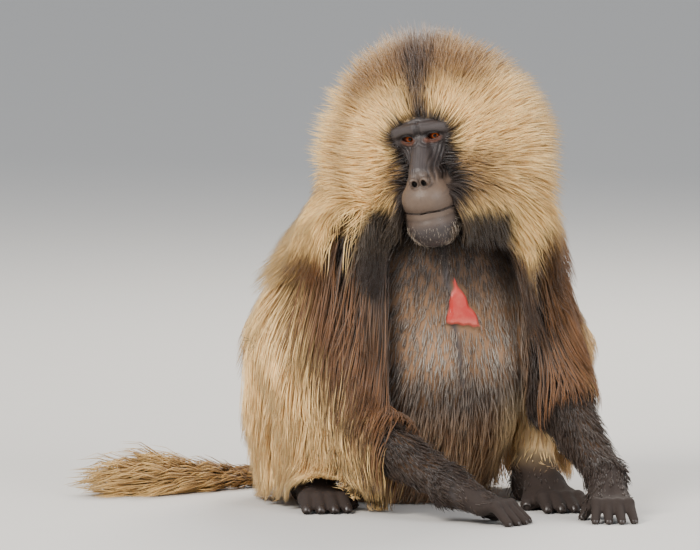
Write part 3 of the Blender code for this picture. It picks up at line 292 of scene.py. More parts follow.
@dataclass(frozen=True)
class Head:
    """Skull, face, muzzle, ears and the places of the eyes."""

    eye_half_span: float = 0.0165
    eye_radius: float = 0.0105
    lid_radius: float = 0.0126
    brow_half_width: float = 0.033
    brow_radius: float = 0.0080
    muzzle: tuple = ((0.0, -0.020, -0.076), (0.0325, 0.036, 0.026))
    chin: tuple = ((0.0, -0.012, -0.110), (0.0295, 0.036, 0.030))
    mouth_level: float = -0.093
    nostril: tuple = ((0.0061, -0.0570, -0.0545), (0.0041, 0.0120, 0.0050))
    ear_at: tuple = (0.060, 0.078, 0.004)
    ear_size: tuple = (0.011, 0.018, 0.024)
    face_heights: tuple = (-0.150, -0.135, -0.110, -0.080, -0.066, -0.054, -0.037, -0.015, 0.003, 0.014,
                           0.020, 0.026)
    face_widths: tuple = (0.004, 0.018, 0.030, 0.034, 0.032, 0.0255, 0.0215, 0.0290, 0.0375, 0.0345,
                          0.0200, -0.006)
    eye_half_width: float = 0.0080
    cheek_folds: tuple = ((0.50, 0.035, 0.00080), (0.68, 0.042, 0.00150), (0.84, 0.042, 0.00160),
                          (0.99, 0.045, 0.0010))

    def coarse(self, p: Array) -> Array:
        """Distance to the head without its fine folds, in the head's frame.

        Args:
            p: Points in the head's frame.

        Returns:
            Distances.
        """
        m = mirrored(p)
        skull = blend(ball(p, (0.0, 0.066, 0.016), (0.056, 0.066, 0.048)),
                      ball(p, (0.0, 0.090, -0.024), (0.052, 0.050, 0.050)), 0.03)
        total = blend(skull, ball(p, (0.0, 0.026, -0.010), (0.041, 0.025, 0.027)), 0.014)
        brow_end = (self.brow_half_width, 0.002, 0.0095)
        brow = bone(m, (0.004, -0.0095, 0.0125), brow_end, self.brow_radius, self.brow_radius)
        total = blend(total, brow, 0.008)
        total = blend(total, bone(m, (0.034, 0.010, -0.004), (0.036, 0.030, -0.016), 0.0085, 0.012), 0.008)
        total = blend(total, bone(p, (0.0, 0.003, 0.002), (0.0, -0.034, -0.044), 0.0095, 0.0155), 0.008)
        total = blend(total, bone(m, (0.0105, 0.008, -0.018), (0.0098, -0.020, -0.052), 0.0088, 0.0112), 0.010)
        total = blend(total, bone(m, (0.008, 0.016, -0.030), (0.030, 0.048, -0.040), 0.0155, 0.022), 0.012)
        jowl = bone(m, (0.010, 0.0, -0.088), (0.026, 0.055, -0.062), 0.028, 0.030)
        jaw = bone(m, (0.012, -0.004, -0.112), (0.034, 0.062, -0.072), 0.021, 0.020)
        total = blend(total, blend_all((ball(p, *self.muzzle), jowl, ball(p, *self.chin), jaw), 0.010), 0.010)
        total = blend(total, ball(m, (self.eye_half_span, self.eye_radius, 0.0), (self.lid_radius,) * 3), 0.003)
        return blend(total, ball(m, (0.0078, -0.0475, -0.0510), (0.0072, 0.0070, 0.0065)), 0.005)

    def folds(self, p: Array) -> Array:
        """Depth of the wrinkles and creases of the face.

        Args:
            p: Points in the head's frame.

        Returns:
            Depths in metres, above zero in a fold.
        """
        x, y, z = p.T
        side = np.abs(x)
        front = smooth(-y, -0.030, -0.004)
        outward = side / np.interp(z, self.face_heights, self.face_widths).clip(0.010)
        run = outward + 0.020 * np.sin(z * 190.0 + x * 60.0)
        cheeks = smooth(-z, 0.006, 0.014) * smooth(z, -0.060, -0.048)
        depth = np.zeros(len(p))
        for place, half, deep in self.cheek_folds:
            depth += deep * hump(run, place, half) * cheeks
        bridge = smooth(-z, -0.002, 0.012) * smooth(z, -0.056, -0.044) * smooth(-side, -0.017, -0.010)
        ripple = 0.5 + 0.5 * np.sin(side * 2.0 * math.pi / 0.0031 + 0.9 * np.sin(z * 170.0 + x * 90.0))
        depth += 0.00042 * bridge * ripple * (0.55 + 0.45 * np.sin(z * 230.0 + x * 400.0))
        bag = np.hypot((side - self.eye_half_span) / 1.5, z + 0.001)
        under = smooth(-z, 0.001, 0.006) * smooth(-side, -0.033, -0.024)
        for reach, deep in ((0.0094, 0.00075), (0.0124, 0.00045)):
            depth += deep * hump(bag, reach, 0.0008) * under
        lid_fold = np.hypot((side - self.eye_half_span) / 1.45, z + 0.0012)
        depth += 0.0008 * hump(lid_fold, 0.0072, 0.0007) * smooth(z, 0.0015, 0.0035)
        forehead = smooth(z, 0.012, 0.016) * smooth(-side, -0.034, -0.020)
        wave = z + 0.0014 * np.sin(x * 150.0) + 0.10 * side
        depth += 0.00040 * forehead * (0.5 + 0.5 * np.sin(wave * 2.0 * math.pi / 0.0044))
        depth += 0.0010 * hump(side, 0.0034, 0.0009) * hump(z, 0.009, 0.008)
        depth += 0.0009 * hump(side, 0.0, 0.0030) * hump(z, 0.010, 0.009)
        cheek = hump(z, -0.072, 0.012) * smooth(side, 0.022, 0.028)
        lines = 0.5 + 0.5 * np.sin((side * 0.8 - y * 0.5 + z) * 2.0 * math.pi / 0.0046)
        depth += 0.00035 * cheek * lines
        back = smooth(-y, -0.022, 0.000)
        line = self.mouth_level + 0.0016 * (side / 0.03) ** 2 + 0.0004 * np.sin(x * 260.0)
        depth += back * (0.0030 * hump(z, line, 0.0010) + 0.0006 * hump(z, line - 0.0100, 0.0030))
        corner = np.hypot(side - 0.0335, z - line)
        depth += 0.0006 * hump(corner, 0.0042, 0.0011) * back
        philtrum = hump(x, 0.0, 0.0010) * smooth(z, -0.082, -0.074) * smooth(-z, 0.060, 0.066)
        depth += 0.0003 * philtrum
        wing = hump(np.hypot(side - 0.0070, z + 0.0535), 0.0078, 0.0011)
        depth += 0.0006 * wing * smooth(-y, 0.036, 0.044)
        return depth * front

    def form(self, points: Array) -> Array:
        """Distance to the head with folds, lids, eye openings, nostrils and ears.

        Args:
            points: World points.

        Returns:
            Distances.
        """
        p = STANCE.to_head(points)
        m = mirrored(p)
        total = self.coarse(p) + self.folds(p)
        u = (m[:, 0] - self.eye_half_span) / self.eye_half_width
        arch = np.sqrt(np.clip(1.0 - u * u, 0.0, 1.0))
        upper = 0.0036 * arch - 0.0004 + 0.0006 * u
        lower = -0.0040 * arch + 0.0006 * u
        opening = np.maximum(np.maximum(p[:, 2] - upper, lower - p[:, 2]), (np.abs(u) - 1.0) * self.eye_half_width)
        total = cut(total, np.maximum(opening, p[:, 1] - 0.0062), 0.0010)
        lid_rim = np.abs(opening - 0.0010)
        total = total - 0.0005 * hump(lid_rim, 0.0, 0.0009) * smooth(-p[:, 1], -0.006, 0.0)
        total = cut(total, ball(m, *self.nostril), 0.0010)
        ears = [self.ear(points, side) for side in Side]
        return np.minimum(total, blend_all(ears, 0.001))

    def ear(self, points: Array, side: Side) -> Array:
        """Distance to one cupped ear.

        Args:
            points: World points.
            side: Which ear.

        Returns:
            Distances.
        """
        lean = np.array(Matrix.Rotation(side.value * math.radians(-28.0), 3, "Z"))
        q = (STANCE.to_head(points) - np.array((side.value * self.ear_at[0], *self.ear_at[1:]))) @ lean
        cup = ball(q, (side.value * 0.009, -0.006, 0.002), (0.009, 0.012, 0.017))
        return cut(ball(q, (0.0, 0.0, 0.0), self.ear_size), cup, 0.002)

    def bare(self, points: Array, soft: float = 0.005) -> Array:
        """How much of each point lies on the bare face, from 0 to 1.

        Args:
            points: World points.
            soft: Half width of its edge.

        Returns:
            Shares.
        """
        p = STANCE.to_head(points)
        width = np.interp(p[:, 2], self.face_heights, self.face_widths)
        return smooth(width - np.abs(p[:, 0]), -soft, soft) * smooth(0.034 - p[:, 1], 0.0, 0.010)


class Limb:
    """What an arm and a leg share."""

    heading: tuple

    def axes(self) -> tuple[Array, Array]:
        """Unit vectors along the hand or foot and across it."""
        along = np.array((*self.heading, 0.0)) / np.linalg.norm(self.heading)
        return along, np.array((-along[1], along[0], 0.0))

    def fan(self, middle: Array, reaches: Sequence[float], steps: tuple, bend: tuple, radius: float,
            sunk: float) -> list[tuple[Array, Array, Array, float]]:
        """Four digits side by side.

        Args:
            middle: The point between their roots.
            reaches: Length of each.
            steps: How far apart their roots are, and how much further their middles and tips.
            bend: Share of its length at which a digit bends, and how far it rises there.
            radius: Their radius.
            sunk: How far each tip's middle is below its radius.

        Returns:
            Root, middle, tip and radius of each.
        """
        along, across = self.axes()
        made = []
        for digit, reach in enumerate(reaches):
            place = digit - 1.5
            root = middle + across * place * steps[0]
            bent = root + along * reach * bend[0] + across * place * steps[1] + np.array((0.0, 0.0, bend[1]))
            tip = root + along * reach + across * place * steps[2]
            tip[2] = radius - sunk
            made.append((root, bent, tip, radius))
        return made


@dataclass(frozen=True)
class Arm(Limb):
    """One arm with its hand."""

    side: Side
    shoulder: tuple
    elbow: tuple
    wrist: tuple
    heading: tuple
    radii: tuple = (0.050, 0.037, 0.023)
    hand_length: float = 0.108
    finger_radius: float = 0.0068
    finger_spread: float = 0.0145
    fur: float = 0.0035

    def joints(self) -> tuple:
        """Shoulder, elbow and wrist."""
        return self.shoulder, self.elbow, self.wrist

    def form(self, points: Array) -> Array:
        """Distance to the furred arm above the wrist."""
        upper = bone(points, self.shoulder, self.elbow, self.radii[0], self.radii[1])
        return blend(upper, bone(points, self.elbow, self.wrist, self.radii[1], self.radii[2]), 0.02)

    def digits(self) -> list[tuple[Array, Array, Array, float]]:
        """The fingers, and then the thumb.

        Returns:
            Root, middle, tip and radius of each.
        """
        wrist = np.array(self.wrist)
        along, across = self.axes()
        knuckles = wrist + along * self.hand_length * 0.50
        knuckles[2] = 0.023
        reaches = [self.hand_length * (0.47 - 0.035 * abs(finger - 1.8)) for finger in range(4)]
        steps = (self.finger_spread * 0.78, 0.0022, 0.0050)
        made = self.fan(knuckles, reaches, steps, (0.52, 0.001), self.finger_radius, 0.0022)
        inner = -self.side.value
        root = wrist + along * self.hand_length * 0.22 + across * inner * 0.018
        root[2] = 0.024
        tip = root + along * self.hand_length * 0.24 + across * inner * 0.016
        tip[2] = self.finger_radius - 0.0022
        made.append((root, (root + tip) / 2.0, tip, self.finger_radius * 1.15))
        return made

    def hand(self, points: Array) -> Array:
        """Distance to the palm, fingers and thumb.

        Args:
            points: World points.

        Returns:
            Distances.
        """
        wrist = np.array(self.wrist)
        along, across = self.axes()
        knuckles = wrist + along * self.hand_length * 0.50
        knuckles[2] = 0.023
        total = blend(bone(points, wrist, knuckles + across * 0.013, 0.021, 0.0125),
                      bone(points, wrist, knuckles - across * 0.013, 0.021, 0.0125), 0.015)
        *fingers, thumb = self.digits()
        for root, middle, tip, radius in fingers:
            digit = blend(bone(points, root, middle, radius + 0.0016, radius),
                          bone(points, middle, tip, radius, radius * 0.80), 0.004)
            knuckle = ball(points, root + np.array((0.0, 0.0, 0.0035)), (0.0062, 0.0062, 0.0055))
            total = blend(total, blend(digit, knuckle, 0.003), 0.0065)
        return blend(total, bone(points, thumb[0], thumb[2], 0.0100, self.finger_radius * 0.85), 0.008)

    def skin(self, points: Array) -> Array:
        """Distance to the skin of arm and hand."""
        low, high = np.array(self.wrist) - 0.16, np.array(self.wrist) + 0.16
        return blend(self.form(points) + self.fur, near(points, low, high, self.hand), 0.010)


@dataclass(frozen=True)
class Leg(Limb):
    """One folded leg with its foot."""

    side: Side
    hip: tuple
    knee: tuple
    ankle: tuple
    heading: tuple
    radii: tuple = (0.062, 0.046, 0.024)
    foot_length: float = 0.168
    toe_radius: float = 0.0085
    fur: float = 0.0035

    def joints(self) -> tuple:
        """Hip, knee and ankle."""
        return self.hip, self.knee, self.ankle

    def form(self, points: Array) -> Array:
        """Distance to the furred leg above the ankle.

        Args:
            points: World points.

        Returns:
            Distances.
        """
        thigh = bone(points, self.hip, self.knee, self.radii[0], self.radii[1])
        calf = np.asarray(self.knee) * 0.62 + np.asarray(self.ankle) * 0.38
        shank = blend(bone(points, self.knee, self.ankle, self.radii[1] - 0.006, self.radii[2]),
                      ball(points, calf, (0.036, 0.036, 0.050)), 0.02)
        return blend(thigh, shank, 0.008)

    def digits(self) -> list[tuple[Array, Array, Array, float]]:
        """The toes, and then the great toe.

        Returns:
            Root, middle, tip and radius of each.
        """
        ankle = np.array(self.ankle)
        along, across = self.axes()
        ball_of_foot = ankle + along * self.foot_length * 0.52
        ball_of_foot[2] = 0.0145
        reaches = [self.foot_length * (0.33 - 0.020 * abs(toe - 1.5)) for toe in range(4)]
        steps = (0.0135, 0.002, 0.004)
        made = self.fan(ball_of_foot - along * 0.004, reaches, steps, (0.5, 0.003), self.toe_radius, 0.0025)
        inner = -self.side.value
        root = ankle + along * self.foot_length * 0.26 + across * inner * 0.016
        root[2] = 0.017
        tip = root + along * self.foot_length * 0.27 + across * inner * 0.022
        tip[2] = 0.0075
        made.append((root, (root + tip) / 2.0, tip, 0.0110))
        return made

    def foot(self, points: Array) -> Array:
        """Distance to the heel, sole and toes.

        Args:
            points: World points.

        Returns:
            Distances.
        """
        ankle = np.array(self.ankle)
        along, across = self.axes()
        heel = ankle - along * 0.022
        heel[2] = 0.0195
        instep = ankle + along * self.foot_length * 0.30
        instep[2] = 0.024
        ball_of_foot = ankle + along * self.foot_length * 0.52
        ball_of_foot[2] = 0.0145
        heel_form = bone(points, ankle, heel, 0.024, 0.0225)
        total = blend(heel_form, bone(points, ankle, instep, 0.024, 0.021), 0.015)
        for shift in (-0.012, 0.012):
            total = blend(total, bone(points, instep, ball_of_foot + across * shift, 0.021, 0.0155), 0.012)
        *toes, great = self.digits()
        for root, middle, tip, radius in toes:
            digit = blend(bone(points, root, middle, radius + 0.001, radius),
                          bone(points, middle, tip, radius, radius * 0.82), 0.004)
            total = blend(total, digit, 0.006)
        return blend(total, bone(points, great[0], great[2], 0.0125, 0.0098), 0.008)

    def skin(self, points: Array) -> Array:
        """Distance to the skin of leg and foot."""
        low, high = np.array(self.ankle) - 0.20, np.array(self.ankle) + 0.20
        return blend(self.form(points) + self.fur, near(points, low, high, self.foot), 0.012)


@dataclass(frozen=True)
class Tail:
    """The tail, which lies on the floor."""

    route: tuple = ((-0.035, 0.110, 0.055), (-0.075, 0.165, 0.026), (-0.140, 0.180, 0.017),
                    (-0.210, 0.160, 0.016), (-0.270, 0.120, 0.016), (-0.325, 0.088, 0.018), (-0.368, 0.070, 0.019))
    radii: tuple = (0.024, 0.019, 0.017, 0.016, 0.0155, 0.016, 0.012)
    fur: float = 0.0060

    def form(self, points: Array) -> Array:
        """Distance to the tail's furred surface, without its tuft."""
        lengths = [bone(points, self.route[i], self.route[i + 1], self.radii[i], self.radii[i + 1])
                   for i in range(len(self.route) - 1)]
        return blend_all(lengths, 0.006)

    def skin(self, points: Array) -> Array:
        """Distance to the tail's skin."""
        return self.form(points) + self.fur

    def ahead(self, points: Array) -> tuple[Array, Array]:
        """The tail's own direction beside each point, and how far along the route that is.

        Args:
            points: World points.

        Returns:
            Unit vectors towards the tip, and places from 0 to the number of lengths.
        """
        route = np.array(self.route)
        best = np.full(len(points), np.inf)
        ways, places = np.zeros_like(points), np.zeros(len(points))
        for i in range(len(route) - 1):
            run = route[i + 1] - route[i]
            t = np.clip((points - route[i]) @ run / (run @ run), 0.0, 1.0)
            away = np.linalg.norm(points - route[i] - t[:, None] * run, axis=1)
            nearer = away < best
            best[nearer] = away[nearer]
            ways[nearer] = run / np.linalg.norm(run)
            places[nearer] = (i + t)[nearer]
        return ways, places


TRUNK = Trunk()
HEAD = Head()
ARMS = (
    Arm(Side.RIGHT, (-0.098, -0.055, 0.318), (-0.090, -0.115, 0.110), (0.028, -0.252, 0.046), (0.88, -0.47)),
    Arm(Side.LEFT, (0.112, 0.012, 0.318), (0.168, -0.060, 0.142), (0.228, -0.187, 0.050), (0.10, -0.99)),
)
LEGS = (
    Leg(Side.RIGHT, (-0.096, 0.045, 0.090), (-0.176, -0.030, 0.188), (-0.148, -0.036, 0.042), (0.17, -0.98)),
    Leg(Side.LEFT, (0.045, 0.096, 0.090), (0.158, 0.052, 0.186), (0.140, -0.030, 0.042), (0.30, -0.95)),
)
TAIL = Tail()


def flesh(points: Array) -> Array:
    """Distance to all that long hair grows on or lies over, with its creases filled.

    Args:
        points: World points.

    Returns:
        Distances.
    """
    total = blend(HEAD.coarse(STANCE.to_head(points)), TRUNK.neck(points), 0.02)
    total = blend(total, TRUNK.form(points), 0.03)
    for limb in (ARMS[0].form, LEGS[0].form, LEGS[0].foot, ARMS[1].form, LEGS[1].form, LEGS[1].foot):
        total = blend(total, limb(points), 0.035)
    return total


def whole_skin(points: Array) -> Array:
    """Distance to the one skin of the whole animal, which rests on the floor.

    Args:
        points: World points.

    Returns:
        Distances.
    """
    middle = STANCE.from_head((0.0, 0.05, -0.04))
    total = blend(near(points, middle - 0.17, middle + 0.17, HEAD.form), TRUNK.skin(points), 0.012)
    for limb in (*ARMS, *LEGS):
        total = blend(total, limb.skin(points), 0.004)
    total = blend(total, TAIL.skin(points), 0.006)
    return np.maximum(total, 0.0003 - points[:, 2])


# Where the coat reaches


@dataclass(frozen=True)
class Coat:
    """How far the long hair reaches and how it lies."""

    mane_centre: tuple = (-0.008, 0.072, -0.041)
    mane_reach: tuple = (0.163, 0.150, 0.171)
    mane_back_reach: float = 0.185
    rim_share: float = 0.56
    rim_angle: float = 22.0
    full_angle: float = 88.0
    cheek_hair: tuple = (((-0.096, -0.100, 0.330), (0.052, 0.048, 0.085)),
                         ((0.128, -0.070, 0.335), (0.052, 0.050, 0.080)))
    cape_centre: tuple = (-0.017, 0.025)
    cape_side: float = 0.238
    cape_back: float = 0.215
    cape_front: float = 0.195
    cape_profile: tuple = ((0.00, 0.88), (0.05, 0.93), (0.10, 0.98), (0.16, 1.00), (0.21, 0.98), (0.26, 0.91),
                           (0.30, 0.82), (0.34, 0.70), (0.38, 0.56), (0.42, 0.42), (0.50, 0.10))
    least: float = 0.024

    def mane(self, points: Array) -> Array:
        """Distance, near enough, to the surface that the mane's tips reach.

        Args:
            points: World points.

        Returns:
            Distances.
        """
        away = STANCE.to_head(points) - np.array(self.mane_centre)
        reach = np.tile(self.mane_reach, (len(points), 1))
        reach[away[:, 1] > 0.0, 1] = self.mane_back_reach
        scaled = away / reach
        far = np.maximum(np.linalg.norm(scaled, axis=1), 1e-6)
        angle = np.degrees(np.arccos(np.clip(-scaled[:, 1] / far, -1.0, 1.0)))
        share = self.rim_share + (1.0 - self.rim_share) * smooth(angle, self.rim_angle, self.full_angle)
        return (far - share) * self.mane_reach[0]

    def around(self, points: Array) -> tuple[Array, Array]:
        """Points from the cape's middle, turned as the trunk is, and the way round it: 0 in front, above 0 left."""
        p = STANCE.to_trunk(points - np.array((*self.cape_centre, 0.0)))
        return p, np.arctan2(p[:, 0], p[:, 1])

    def cape(self, points: Array) -> Array:
        """Distance, near enough, to the surface that the cape's tips reach.

        Args:
            points: World points.

        Returns:
            Distances.
        """
        p, turn = self.around(points)
        heights, shares = zip(*self.cape_profile)
        deep = np.where(np.cos(turn) < 0.0, self.cape_back, self.cape_front)
        radius = np.interp(p[:, 2], heights, shares)
        radius = radius / np.hypot(np.sin(turn) / self.cape_side, np.cos(turn) / deep)
        return (np.hypot(p[:, 0], p[:, 1]) - radius) * 0.92

    def reach(self, points: Array) -> Array:
        """Distance to the surface that the tips of all the long hair reach.

        Args:
            points: World points.

        Returns:
            Distances.
        """
        total = blend(self.mane(points), self.cape(points), 0.05)
        for form in self.cheek_hair:
            total = blend(total, ball(points, *form), 0.03)
        return total

    def lie(self, points: Array) -> Array:
        """The way long hair lies: away from the face round the head, and down over the body.

        Args:
            points: World points.

        Returns:
            Unit vectors.
        """
        p = STANCE.to_head(points) - np.array((0.0, -0.010, -0.040))
        mane = units(np.stack((p[:, 0], 0.95 * np.abs(p[:, 1]) + 0.020, p[:, 2]), axis=1)) @ STANCE.head_axes.T
        back = np.clip((p[:, 1] - 0.050) / 0.080, 0.0, 1.0)
        low = np.clip(-(p[:, 2] + 0.015) / 0.080, 0.0, 1.0)
        mane[:, 2] -= 0.05 + 0.9 * back + 0.9 * low
        middle = points - np.array((*self.cape_centre, 0.0))
        middle[:, 2] = 0.0
        cape = 0.18 * units(middle)
        cape[:, 2] = -1.0
        weight = np.clip((points[:, 2] - 0.345) / 0.075, 0.0, 1.0)[:, None]
        return units(weight * mane + (1.0 - weight) * cape)


COAT = Coat()


@dataclass
class Sampled:
    """Distances to flesh and to the tips, kept on a grid so that many tufts can be traced quickly."""

    step: float
    lowest: tuple = (-0.33, -0.30, -0.03)
    highest: tuple = (0.33, 0.32, 0.66)

    def __post_init__(self) -> None:
        """Fills the grid."""
        step = self.step
        self.low = np.array(self.lowest)
        self.shape = tuple(int(n) for n in np.ceil((np.array(self.highest) - self.low) / step) + 1)
        axes = [low + step * np.arange(n) for low, n in zip(self.low, self.shape)]
        points = np.stack(np.meshgrid(*axes, indexing="ij"), axis=-1).reshape(-1, 3)
        skin = flesh(points)
        thick = np.maximum(skin - COAT.reach(points), COAT.least)
        half = (skin - 0.5 * thick).reshape(self.shape)
        slope = np.stack(np.gradient(half, step), axis=-1)
        self.values = np.concatenate((np.stack((skin, thick), axis=-1).reshape(*self.shape, 2), slope), axis=-1)

    def at(self, points: Array) -> tuple[Array, Array, Array]:
        """Flesh distance, coat thickness and the unit vector out of the coat at each point.

        Args:
            points: World points.

        Returns:
            Three arrays.
        """
        place = (points - self.low) / self.step
        place = np.clip(place, 0.0, np.array(self.shape) - 1.001)
        cell = place.astype(int)
        t = place - cell
        total = np.zeros((len(points), 5))
        for shift in CORNERS:
            weight = np.prod(np.where(shift, t, 1.0 - t), axis=1)
            total += weight[:, None] * self.values[tuple((cell + shift).T)]
        return total[:, 0], total[:, 1], units(total[:, 2:])


# Markings, shared by skin and coat


@dataclass(frozen=True)
class Markings:
    """Where the coat is dark, rusty, cream or grey, as shares from 0 to 1."""

    def mane(self, points: Array, roots: Array, along: Array, draw: Array) -> dict[str, Array]:
        """Shares for the mane.

        Args:
            points: Places along the tufts.
            roots: Root of the tuft that each place is on.
            along: How far each place is along its tuft, from 0 to 1.
            draw: A random number from 0 to 1 for the tuft.

        Returns:
            The share of each tone.
        """
        p = STANCE.to_head(roots)
        here = STANCE.to_head(points)
        jitter = draw - 0.5
        side, up = np.abs(here[:, 0]), here[:, 2]
        off = np.hypot(here[:, 0] / 0.150, (up + 0.030) / 0.160)
        edge = np.abs(p[:, 0]) - np.interp(p[:, 2], HEAD.face_heights, HEAD.face_widths)
        hollow = hump(p[:, 2], -0.036, 0.024)
        near_face = 1.0 - smooth(edge + 0.008 * along + 0.005 * jitter - 0.005 * hollow, -0.001, 0.009)
        near_face = near_face * smooth(0.085 - p[:, 1], 0.0, 0.030)
        back = smooth(here[:, 1], 0.060, 0.130)
        parting = hump(here[:, 0] - 0.003 + 0.008 * jitter, 0.0, 0.0095 + 0.22 * np.clip(up - 0.030, 0.0, 0.2))
        parting = parting * smooth(up, 0.018, 0.030) * smooth(0.130 - here[:, 1], 0.0, 0.050)
        above = smooth(up, 0.035, 0.080) * smooth(-side, -0.150, -0.070)
        rim = smooth(off + 0.18 * jitter, 0.50, 0.80) * above * (1.0 - 0.35 * smooth(off, 0.84, 1.02))
        cheek = smooth(-up, 0.012, 0.040) * smooth(up, -0.115, -0.075)
        reach = np.where(here[:, 0] > 0.0, 0.078, 0.036)
        brown = (1.0 - smooth(side - 0.028 + 0.016 * jitter, 0.35 * reach, 1.35 * reach)) * cheek * (1.0 - back)
        band = hump(off, 0.80, 0.055) * smooth(-here[:, 0], 0.04, 0.08)
        band = band * (1.0 - above) * smooth(up, -0.09, -0.03)
        # Painted shade: each lock is darker towards its root, as if shade falls inside the mane.
        root_shade = 0.34 * (1.0 - along) ** 2.2
        right_edge = np.interp(points[:, 2], (0.30, 0.335, 0.36, 0.39), (-0.102, -0.095, -0.084, -0.068))
        throat = smooth(points[:, 0] - right_edge, -0.008, 0.008) * smooth(-points[:, 0], -0.122, -0.104)
        throat = throat * smooth(0.392 - points[:, 2], 0.0, 0.016) * smooth(-points[:, 1], 0.0, 0.03)
        dark = 0.86 * near_face * (1.0 - 0.40 * along) + 0.40 * brown + 0.24 * band + 0.36 * rim + root_shade
        dark = dark + parting * (0.78 - 0.30 * smooth(up, 0.055, 0.110)) + 0.28 * back * (1.0 - 0.6 * along)
        rust = 0.80 * rim + 0.50 * parting + 0.75 * brown + 0.42 * band + 0.26 * back + 0.10
        cream = (0.92 + 0.25 * jitter) * (1.0 - 0.80 * rim) * (1.0 - 0.62 * brown) * (1.0 - 0.7 * parting)
        cream = cream * (1.0 - 0.45 * back) * (1.0 - 0.5 * band) * (0.62 + 0.38 * smooth(along, 0.05, 0.5))
        shares = {"dark": dark, "rust": rust, "cream": cream, "grey": 0.10 * near_face}
        edge_height = np.where(points[:, 0] < 0.0, 0.338, 0.350) + 0.022 * jitter
        hanging = hump(points[:, 0], -0.109, 0.015) * 0.048 + hump(points[:, 0], 0.138, 0.015) * 0.040
        edge_height = edge_height - hanging * smooth(-points[:, 1], 0.0, 0.03)
        below = smooth(edge_height - points[:, 2], 0.0, 0.030)
        for name, value in self.cape(points, roots, along, draw).items():
            shares[name] = shares[name] * (1.0 - below) + value * below
        shares["dark"] = np.maximum(shares["dark"], 0.97 * throat)
        return shares

    def cape(self, points: Array, roots: Array, along: Array, draw: Array) -> dict[str, Array]:
        """Shares for the cape.

        Args:
            points: Places along the tufts.
            roots: Root of the tuft that each place is on; not used.
            along: How far each place is along its tuft, from 0 to 1.
            draw: A random number from 0 to 1 for the tuft.

        Returns:
            The share of each tone.
        """
        turn = np.degrees(COAT.around(points)[1])
        around = np.abs(turn)
        jitter = draw - 0.5
        front = 38.0 + 175.0 * (points[:, 2] - 0.125)
        past = around - front + 20.0 * jitter
        back = smooth(around, 112.0, 140.0)
        pale = smooth(past, 0.0, 21.0)
        middle = hump(past, -5.0, 14.0)
        tips = smooth(along, 0.45, 0.95)
        upper = smooth(points[:, 2] + 0.05 * jitter, 0.20, 0.33)
        left = smooth(turn, 20.0, 50.0)
        pale = pale * (1.0 - (0.55 * back + 0.28 * (1.0 - back)) * upper)
        dark = (1.0 - pale) * (0.96 - 0.50 * middle - 0.12 * tips)
        rust = 0.80 * middle + 0.25 * tips * (1.0 - pale) + 0.15 * back + (0.45 * left + 0.30 * upper) * pale
        cream = pale * (1.0 + 0.2 * jitter) * (1.0 - 0.20 * back) * (1.0 - 0.45 * left)
        cream = cream - 0.15 * hump(along, 0.35, 0.14) * pale
        return {"dark": dark, "rust": rust, "cream": cream, "grey": np.zeros(len(points))}

    def body(self, points: Array, roots: Array, along: Array, draw: Array) -> dict[str, Array]:
        """Shares for the short coat of trunk and limbs.

        Args:
            points: Places along the tufts.
            roots: Root of the tuft that each place is on; not used.
            along: How far each place is along its tuft, from 0 to 1.
            draw: A random number from 0 to 1 for the tuft.

        Returns:
            The share of each tone.
        """
        x, z = points[:, 0], points[:, 2]
        arms = np.minimum.reduce([arm.form(points) for arm in ARMS])
        legs = np.minimum.reduce([leg.form(points) for leg in LEGS])
        trunk = TRUNK.form(points)
        hand = np.minimum.reduce([arm.hand(points) for arm in ARMS])
        foot = np.minimum.reduce([leg.foot(points) for leg in LEGS])
        limb = smooth(np.minimum(trunk, legs) - arms, 0.000, 0.018)
        limb = np.maximum(limb, smooth(-hand, -0.020, -0.004))
        limb = np.maximum(limb, smooth(-foot, -0.020, -0.004) * smooth(0.060 - z, 0.0, 0.020))
        throat = smooth(z, 0.212, 0.306)
        side = smooth(np.abs(x - 0.052 + 0.010 * (draw - 0.5)), 0.060, 0.090) * smooth(z, 0.10, 0.17)
        lines = hump(x, 0.045, 0.0035) + hump(x, 0.060, 0.003)
        lines = lines * smooth(z, 0.135, 0.155) * smooth(0.236 - z, 0.0, 0.02)
        light = hump(z, 0.203, 0.050) * (1.0 - limb) * (1.0 - side)
        spots = hump(np.hypot(x - 0.010, (z - 0.200) * 0.7), 0.0, 0.026)
        spots = spots + hump(np.hypot(x - 0.095, (z - 0.190) * 0.5), 0.0, 0.020)
        knee = smooth(trunk - legs, 0.0, 0.012) * (1.0 - limb) * smooth(-x, 0.0, 0.04)
        low = smooth(0.15 - z, 0.0, 0.07) * (1.0 - limb)
        grizzle = 0.72 + 0.56 * draw
        grey = (0.62 + 0.30 * light + 0.30 * spots) * grizzle * (1.0 - limb)
        grey = grey * (1.0 - low) * smooth(along, -0.2, 0.6)
        inner = smooth(x, 0.080, 0.120) * smooth(0.17 - z, 0.0, 0.05)
        rust = 0.02 + 0.30 * low
        cream = 0.80 * inner * (1.0 - limb) + 0.30 * low * smooth(along, 0.3, 0.9)
        ground = 0.64 - 0.26 * light - 0.24 * spots - 0.26 * low - 0.14 * along - 0.45 * inner + 0.25 * knee
        ground = ground + 0.20 * hump(z, 0.145, 0.030) * (1.0 - inner)
        dark = np.maximum.reduce((0.95 * limb, 0.93 * throat, 0.86 * side, ground, 0.75 * lines))
        return {"dark": dark, "rust": rust * (1.0 - limb), "cream": cream, "grey": grey}

